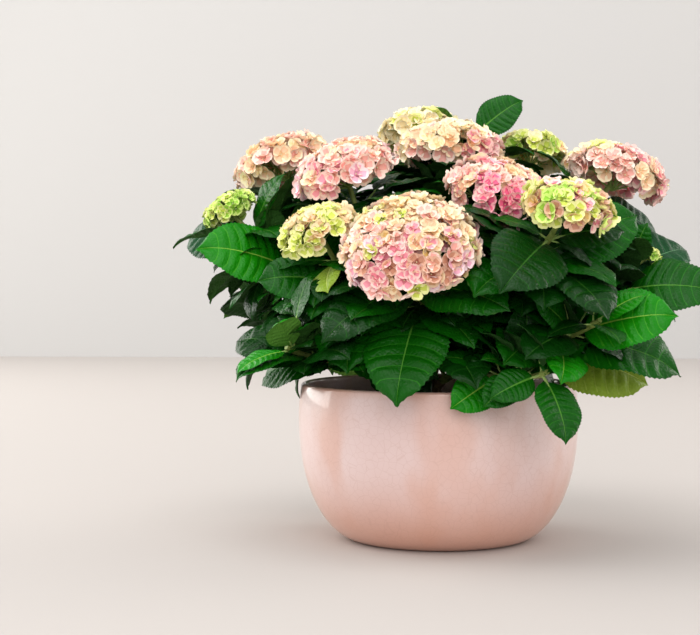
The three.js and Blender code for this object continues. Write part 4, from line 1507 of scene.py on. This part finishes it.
class FlowerHeads:
    """Mophead flower heads: florets of four sepals all over a dome, on pedicels and rays."""

    FLORET_MM, SPACING_MM, VARIANTS = 17.6, 10.6, 6
    # The outer florets' depth under the dome and number, then those of the ones that fill behind.
    OUTER_UNDER, OUTER_SHARE, INNER_REACH, INNER_UNDER, INNER_SHARE = (1.4, 5.0), 1.0, 0.8, 3, 0.55
    LEAST_FLORETS, DEALT, OPEN_FROM, OUTER_OPEN, INNER_OPEN = 7, 0.27, 0.85, 0.12, 0.35
    BOB_MM, BOB_LOW_MM, OUT_SPREAD, LEAST_FLAT = 1.8, 1.4, 0.36, 0.5
    SIZE, SIZE_LOW, SIZE_SPREAD = 0.86, 0.16, 0.13
    CLUMPS, CLUMPED, TINT_FROM, TINT_OVER = 16, 0.35, 0.55, 0.9
    RAYS, RAY_FIRST, RAY_OVER, RAY_REACH, RAY_FOOT, RAY_SAG = 13, 14, 92, 0.55, 0.9, 0.04
    RAY_RADII, PEDICEL_RADII = np.array([1.5, 1.15, 0.8]), (0.6, 0.5, 0.45)
    # A sepal: how far out and how wide its rows are, where its columns are, and its bowl.
    ROWS = ((0.06, 0.05), (0.27, 0.2), (0.56, 0.3), (0.84, 0.26), (1.0, 0.13))
    COLUMNS = (-1.0, -0.55, 0.55, 1.0)
    SEPAL_REACH, SEPAL_TIP, SEPAL_CUP, SEPAL_OVERLAP = 0.47, 0.035, 0.16, 0.03
    BEAD_RADIUS, BEAD_HEIGHT = 0.045, 0.06

    def __init__(self, courses: list[Course]) -> None:
        """Args: courses: every shoot's, marked."""
        self.courses = [course for course in courses if course.shoot.radius]
        self.rays = Tubes()
        self.spread: dict[str, dict[str, np.ndarray]] = {}
        for course in self.courses:
            self.spread[course.shoot.name] = self.lay_out(course)

    @staticmethod
    def stand(course: Course) -> tuple[np.ndarray, np.ndarray]:
        """Returns: the dome's middle and its three axes, in rows, the last pointing out of its top."""
        here = course.station(course.length)
        axis = unit(UP + (course.axis - UP) * course.shoot.lean)
        square = unit(here.side - axis * (here.side @ axis))
        return here.place, np.array([square, np.cross(axis, square), axis])

    def lay_out(self, course: Course) -> dict[str, np.ndarray]:
        """Spreads a head's florets.

        Args:
            course: the shoot's course.

        Returns:
            The florets' points, outward axes, sizes and tints, in millimetres.
        """
        place, axes = self.stand(course)
        name, radius = course.shoot.name, course.shoot.radius
        blush = BLUSHES[name]
        dice = Dice(6000 + 13 * course.number)
        angles = np.radians(np.linspace(0, HEAD_LOWEST, 400))
        squash = np.where(np.cos(angles) >= 0, HEAD_RISE, HEAD_UNDER)
        density = np.sin(angles) * np.sqrt((squash * np.sin(angles)) ** 2 + np.cos(angles) ** 2)
        sums = np.concatenate([[0], np.cumsum((density[1:] + density[:-1]) / 2 * np.diff(angles))])
        points, outs, sizes, heights = [], [], [], []
        fixed, sized = self.OUTER_UNDER
        for reach, share, opened in (
            (radius - fixed - sized * blush.size, self.OUTER_SHARE, self.OUTER_OPEN),
            (radius * self.INNER_REACH - self.INNER_UNDER, self.INNER_SHARE, self.INNER_OPEN),
        ):
            area = 2 * math.pi * reach**2 * sums[-1]
            own_area = 0.866 * (self.SPACING_MM * blush.size) ** 2
            count = max(self.LEAST_FLORETS, round(share * area / own_area))
            for n in range(count):
                angle = float(np.interp((n + 0.5) / count * sums[-1], sums, angles))
                turn = n * GOLDEN_TURN + dice.spread(0.25)
                low = max(0.0, angle - self.OPEN_FROM)
                if (self.DEALT * n) % 1 < low * opened:
                    continue
                way = leaning(angle, turn)
                flat = HEAD_RISE if way[2] >= 0 else HEAD_UNDER
                bob = reach + dice.spread(self.BOB_MM + self.BOB_LOW_MM * low) * blush.size
                local = way * np.array([1, 1, flat]) * bob
                stray = dice.vector(self.OUT_SPREAD)
                points.append(place + local @ axes)
                outs.append(unit(way / np.array([1, 1, max(flat, self.LEAST_FLAT)]) + stray) @ axes)
                sizes.append(blush.size * (self.SIZE + self.SIZE_LOW * angle + dice.spread(self.SIZE_SPREAD)))
                heights.append((local @ axes)[2] / radius)
        clumps = [(unit(dice.vector(1)), dice.roll()) for _ in range(self.CLUMPS)]
        tints = [
            self.tint(blush, height, point - place, clumps, dice) for height, point in zip(heights, points)
        ]
        self.lay_rays(place, axes, radius, points, outs)
        spread = {"point": points, "out": outs, "size": sizes, "tint": tints}
        return {key: np.array(values) for key, values in spread.items()}

    def tint(self, blush: Blush, height: float, arm: np.ndarray, clumps: list, dice: Dice) -> int:
        """Deals out a tint: a third of the florets take the colour of the clump they are in.

        Args:
            blush: the head's colours.
            height: the floret's height over the head's middle, as a share of its radius.
            arm: from the head's middle to the floret.
            clumps: directions, each with a number that picks a colour.
            dice: for the rest.

        Returns:
            The tint's number.
        """
        low = min(max((self.TINT_FROM - height + dice.spread(0.25)) / self.TINT_OVER, 0), 1)
        upper, lower = (
            np.array([given.get(tint, 0) / sum(given.values()) for tint in Tint])
            for given in (blush.upper, blush.lower)
        )
        weights = upper * (1 - low) + lower * low
        near = max(clumps, key=lambda clump: float(clump[0] @ unit(arm)))
        roll = near[1] if dice.roll() < self.CLUMPED else dice.roll()
        return int(min(np.searchsorted(np.cumsum(weights), roll * weights.sum()), len(weights) - 1))

    def lay_rays(
        self, place: np.ndarray, axes: np.ndarray, radius: float,
        points: list[np.ndarray], outs: list[np.ndarray],
    ) -> None:
        """Lays the rays from the stalk's top, and a pedicel from the nearest ray to every floret.

        Args:
            place: the dome's middle.
            axes: its three axes, in rows.
            radius: its radius.
            points: the florets' points.
            outs: their outward axes.
        """
        top = place - axes[2] * HEAD_UNDER * radius * self.RAY_FOOT
        ends = []
        for n in range(self.RAYS):
            angle = math.radians(self.RAY_FIRST + self.RAY_OVER * (n + 0.5) / self.RAYS)
            way = leaning(angle, n * GOLDEN_TURN) * np.array([1, 1, HEAD_RISE])
            end = place + (way * radius * self.RAY_REACH) @ axes
            bend = (top + end) / 2 - axes[2] * radius * self.RAY_SAG
            self.rays.follow(np.array([top, bend, end]), self.RAY_RADII * max(0.5, radius / 60))
            ends.append(end)
        ends = np.array(ends)
        for point, out in zip(points, outs):
            nearest = ends[np.argmin(np.linalg.norm(ends - point, axis=1))]
            bend = (nearest + point) / 2 - out * 1.5
            self.rays.follow(np.array([nearest, bend, point - out * 0.3]), self.PEDICEL_RADII)

    def floret(self, number: int) -> bpy.types.Object:
        """Makes one of the florets that heads are set with, one unit across.

        Args:
            number: which variant, from tight to wide open.

        Returns:
            An object whose faces know their zone: 0 claw, coloured with painted shade for the crease
            at its heart, 1 middle, 2 rim, 3 bead.
        """
        dice = Dice(300 + number)
        opening = -0.06 + 0.2 * number / (self.VARIANTS - 1)
        points, faces, zones = [], [], []
        for sepal in range(4):
            turn = sepal * math.pi / 2 + dice.spread(0.16)
            size, tip = 1 + dice.spread(0.12), opening + dice.spread(0.07)
            cup, under = self.SEPAL_CUP + dice.spread(0.04), self.SEPAL_OVERLAP * (sepal % 2)
            start = len(points)
            cos, sin = math.cos(turn), math.sin(turn)
            for along, wide in self.ROWS:
                for column in self.COLUMNS:
                    point = self.SEPAL_TIP * (1 - column**2) if along == 1.0 else 0
                    x, y = self.SEPAL_REACH * size * along + point, wide * size * column
                    bowl = cup * (column**2 * wide / 0.3 + max(0.0, along - 0.4) ** 2 * 2.6)
                    z = tip * along + bowl + under - self.SEPAL_OVERLAP
                    points.append((x * cos - y * sin, x * sin + y * cos, z))
            for r in range(4):
                for c in range(3):
                    a = start + 4 * r + c
                    faces.append((a, a + 4, a + 5, a + 1))
                    # The innermost row, zone 0, takes the claw colour: painted shade for the crease at the
                    # floret's heart.
                    zones.append(0 if r == 0 else 1 if c == 1 and r < 3 else 2)
        centre = len(points)
        corners = np.radians(range(0, 360, 90))
        points += [(self.BEAD_RADIUS * math.cos(a), self.BEAD_RADIUS * math.sin(a), 0.0) for a in corners]
        points.append((0, 0, self.BEAD_HEIGHT))
        faces += [(centre + k, centre + (k + 1) % 4, centre + 4) for k in range(4)]
        zones += [3] * 4
        mesh = bpy.data.meshes.new(f"floret_{number}")
        mesh.from_pydata(points, [], faces)
        mesh.polygons.foreach_set("use_smooth", [True] * len(faces))
        zone = mesh.attributes.new("zone", "INT", "FACE")
        zone.data.foreach_set("value", zones)
        return bpy.data.objects.new(f"floret_{number}", mesh)

    def tree(self) -> bpy.types.NodeTree:
        """Returns: the tree that sets florets on points, turned outwards, and colours their zones."""
        tree, given = new_tree(
            "florets_on_heads",
            {"Florets": "NodeSocketCollection", "Floret Size": "NodeSocketFloat", "Seed": "NodeSocketInt"},
        )
        kinds = add_node(
            tree, "GeometryNodeCollectionInfo",
            {"Collection": given.outputs["Florets"], "Separate Children": True, "Reset Children": True},
        )
        out, size, tint, zone = (
            add_node(tree, "GeometryNodeInputNamedAttribute", {"Name": name}, data_type=kind)
            for name, kind in (("out", "FLOAT_VECTOR"), ("size", "FLOAT"), ("tint", "INT"), ("zone", "INT"))
        )
        facing = add_node(tree, "FunctionNodeAlignRotationToVector", {"Vector": out}, axis="Z")
        turn = add_node(
            tree, "FunctionNodeRandomValue",
            {0: (0.0, 0.0, 0.0), 1: (0.0, 0.0, 6.283), "Seed": given.outputs["Seed"]},
            data_type="FLOAT_VECTOR",
        )
        spin = add_node(tree, "FunctionNodeEulerToRotation", {0: turn})
        stand = add_node(
            tree, "FunctionNodeRotateRotation",
            {"Rotation": facing, "Rotate By": spin}, rotation_space="LOCAL",
        )
        pick = add_node(
            tree, "FunctionNodeRandomValue",
            {4: 0, 5: self.VARIANTS - 1, "Seed": given.outputs["Seed"]}, data_type="INT",
        )
        scale = add_node(
            tree, "ShaderNodeMath", {0: size, 1: given.outputs["Floret Size"]}, operation="MULTIPLY"
        )
        set_out = add_node(
            tree, "GeometryNodeInstanceOnPoints",
            {
                "Points": given, "Instance": kinds, "Pick Instance": True,
                "Instance Index": pick.outputs[2], "Rotation": stand, "Scale": scale,
            },
        )
        shape = add_node(tree, "GeometryNodeRealizeInstances", {"Geometry": set_out})
        dressed = add_node(tree, "GeometryNodeSetMaterial", {"Geometry": shape, "Material": BEAD.material()})
        for number, colours in enumerate(Tint):
            of_tint = add_node(
                tree, "FunctionNodeCompare", {2: tint, 3: number}, data_type="INT", operation="EQUAL"
            )
            # The claw materials carry painted shade for the crease at each floret's heart.
            for place, part in enumerate(("claw", "middle", "rim")):
                of_zone = add_node(
                    tree, "FunctionNodeCompare", {2: zone, 3: place}, data_type="INT", operation="EQUAL"
                )
                both = add_node(tree, "FunctionNodeBooleanMath", {0: of_tint, 1: of_zone}, operation="AND")
                petal = Petal(f"sepal_{colours.name.lower()}_{part}", colours.value[place])
                dressed = add_node(
                    tree, "GeometryNodeSetMaterial",
                    {"Geometry": dressed, "Selection": both, "Material": petal.material()},
                )
        add_node(tree, "NodeGroupOutput", {0: dressed})
        return tree

    def source(self, names: list[str]) -> bpy.types.Mesh:
        """Returns: the florets of some heads as points with their axis, size and tint."""
        spreads = [self.spread[name] for name in names]
        together = {key: np.concatenate([spread[key] for spread in spreads]) for key in spreads[0]}
        mesh = bpy.data.meshes.new("floret_points")
        mesh.from_pydata((together["point"] * MM).tolist(), [], [])
        for key, kind, field_name, numbers in (
            ("out", "FLOAT_VECTOR", "vector", np.float32),
            ("size", "FLOAT", "value", np.float32),
            ("tint", "INT", "value", np.int32),
        ):
            layer = mesh.attributes.new(key, kind, "POINT")
            layer.data.foreach_set(field_name, together[key].astype(numbers).ravel())
        return mesh

    def build(self) -> list[bpy.types.Object]:
        """Returns: the florets' pieces, one for the heads of each stem, and the rays' piece."""
        kinds = bpy.data.collections.new("floret_kinds")
        bpy.context.scene.collection.children.link(kinds)
        for number in range(self.VARIANTS):
            kinds.objects.link(self.floret(number))
        tree = self.tree()
        pieces = []
        for seed, stem in enumerate(STEM_FEET):
            own = of_stem(self.courses, stem)
            names = [course.shoot.name for course in own]
            inputs = {"Florets": kinds, "Floret Size": self.FLORET_MM * MM, "Seed": 11 + seed}
            mesh = grown(tree, self.source(names), inputs, f"florets_{stem}")
            nodes = [f"head_{course.shoot.name}" for course in own if course.headed]
            pieces.append(put(f"florets_{stem}", mesh, "sepal_cream", *nodes))
        for kind in list(kinds.objects):
            bpy.data.objects.remove(kind)
        bpy.data.collections.remove(kinds)
        rays = self.rays.mesh("rays_and_pedicels", LEAF_STALK, 3)
        pieces.append(put("rays_and_pedicels", rays, "sepal_lime"))
        return pieces


@dataclass
class Studio:
    """A plain pale floor and wall, soft daylight from the left, and the photograph's camera."""

    camera_m: tuple[float, float, float] = (0.0, -1.6, 0.269)
    pitch_down: float = 1.77
    turn_left: float = 3.15
    lens: float = 82.29

    @staticmethod
    def sheet(name: str, size: float, place: tuple[float, float, float], tilt: float, colour: str) -> None:
        """Args: name: the stage's; size: its side; place: its middle; tilt: degrees; colour: hex."""
        mesh = bpy.data.meshes.new(name)
        h = size / 2
        mesh.from_pydata([(-h, -h, 0), (h, -h, 0), (h, h, 0), (-h, h, 0)], [], [(0, 1, 2, 3)])
        board = bpy.data.objects.new(name, mesh)
        board.location, board.rotation_euler = place, (math.radians(tilt), 0, 0)
        bpy.context.scene.collection.objects.link(board)
        material = bpy.data.materials.new(name)
        material.use_nodes = True
        shader = material.node_tree.nodes["Principled BSDF"]
        shader.inputs["Base Color"].default_value = linear(colour)
        shader.inputs["Roughness"].default_value = 0.7
        mesh.materials.append(material)

    @staticmethod
    def light(
        name: str, size: tuple[float, float], watts: float, place: tuple, aim: tuple, colour: str
    ) -> None:
        """Args: name: the light's; size: its sides; watts: power; place, aim: points; colour: hex."""
        lamp = bpy.data.lights.new(name, "AREA")
        lamp.shape, lamp.size, lamp.size_y, lamp.energy = "RECTANGLE", size[0], size[1], watts
        lamp.color = linear(colour)[:3]
        holder = bpy.data.objects.new(name, lamp)
        holder.location = place
        way = np.array(aim, float) - np.array(place, float)
        holder.rotation_euler = Vector(way).to_track_quat("-Z", "Y").to_euler()
        bpy.context.scene.collection.objects.link(holder)

    def build(self) -> None:
        """Sets up the floor, wall, lights, world and camera."""
        self.sheet("floor", 8.0, (0, 0, 0), 0, "b9b2ad")
        self.sheet("wall", 9.0, (0, 3.2, 2.0), 90, "bfbdbb")
        for light in (
            ("window_left", (2.6, 2.4), 92, (-2.8, 1.5, 1.25), (0, 0, 0.2), "fffdf8"),
            ("window_right", (1.8, 2.2), 44, (2.8, 1.6, 1.15), (0, 0, 0.2), "fffaf4"),
            ("sky_above", (1.8, 1.4), 20, (-0.4, -0.6, 2.1), (0, 0, 0.25), "ffffff"),
            ("fill_front", (2.2, 1.4), 21, (0.2, -2.3, 1.3), (0, 0, 0.25), "ffffff"),
            ("wall_wash", (3.0, 1.0), 17, (0, 1.6, 2.6), (0, 3.2, 0.8), "ffffff"),
        ):
            self.light(*light)
        world = bpy.data.worlds.new("pale_room")
        world.use_nodes = True
        background = world.node_tree.nodes["Background"]
        background.inputs["Color"].default_value = linear("f4f5f6")
        background.inputs["Strength"].default_value = 1.0
        bpy.context.scene.world = world
        lens = bpy.data.cameras.new("camera")
        lens.lens, lens.sensor_width = self.lens, 36
        camera = bpy.data.objects.new("camera", lens)
        camera.location = self.camera_m
        camera.rotation_euler = (math.radians(90 - self.pitch_down), 0, math.radians(self.turn_left))
        bpy.context.scene.collection.objects.link(camera)
        bpy.context.scene.camera = camera
        bpy.context.scene.view_settings.view_transform = "Standard"


FORK_LOWEST, FORK_GAP = 20.0, 2.5


def marked_courses() -> list[Course]:
    """Returns: every shoot's course, with the distances where its stem forks and its leaves start."""
    courses = [Course(shoot, number) for number, shoot in enumerate(SHOOTS)]
    for stem in STEM_FEET:
        own = of_stem(courses, stem)
        fork = FORK_LOWEST
        while True:
            places = [course.station(fork).place for course in own]
            gaps = [np.linalg.norm(a - b) for i, a in enumerate(places) for b in places[i + 1 :]]
            if min(gaps) > 2 * ARM_RADIUS + FORK_GAP:
                break
            fork += 1
        for course in own:
            course.mark(fork)
    return courses


def main() -> None:
    """Builds the planter, the mix, the plant and the studio."""
    logging.basicConfig(level=logging.INFO, format="%(name)s: %(message)s")
    courses = marked_courses()
    planter = Planter()
    planter.build()
    PottingMix(planter).build()
    heads = FlowerHeads(courses)
    limbs = Limbs(courses)
    limbs.grow()
    florets = np.concatenate([spread["point"] for spread in heads.spread.values()])
    Foliage(courses, limbs, florets).build()
    limbs.build()
    heads.build()
    Studio().build()


if __name__ == "__main__":
    main()
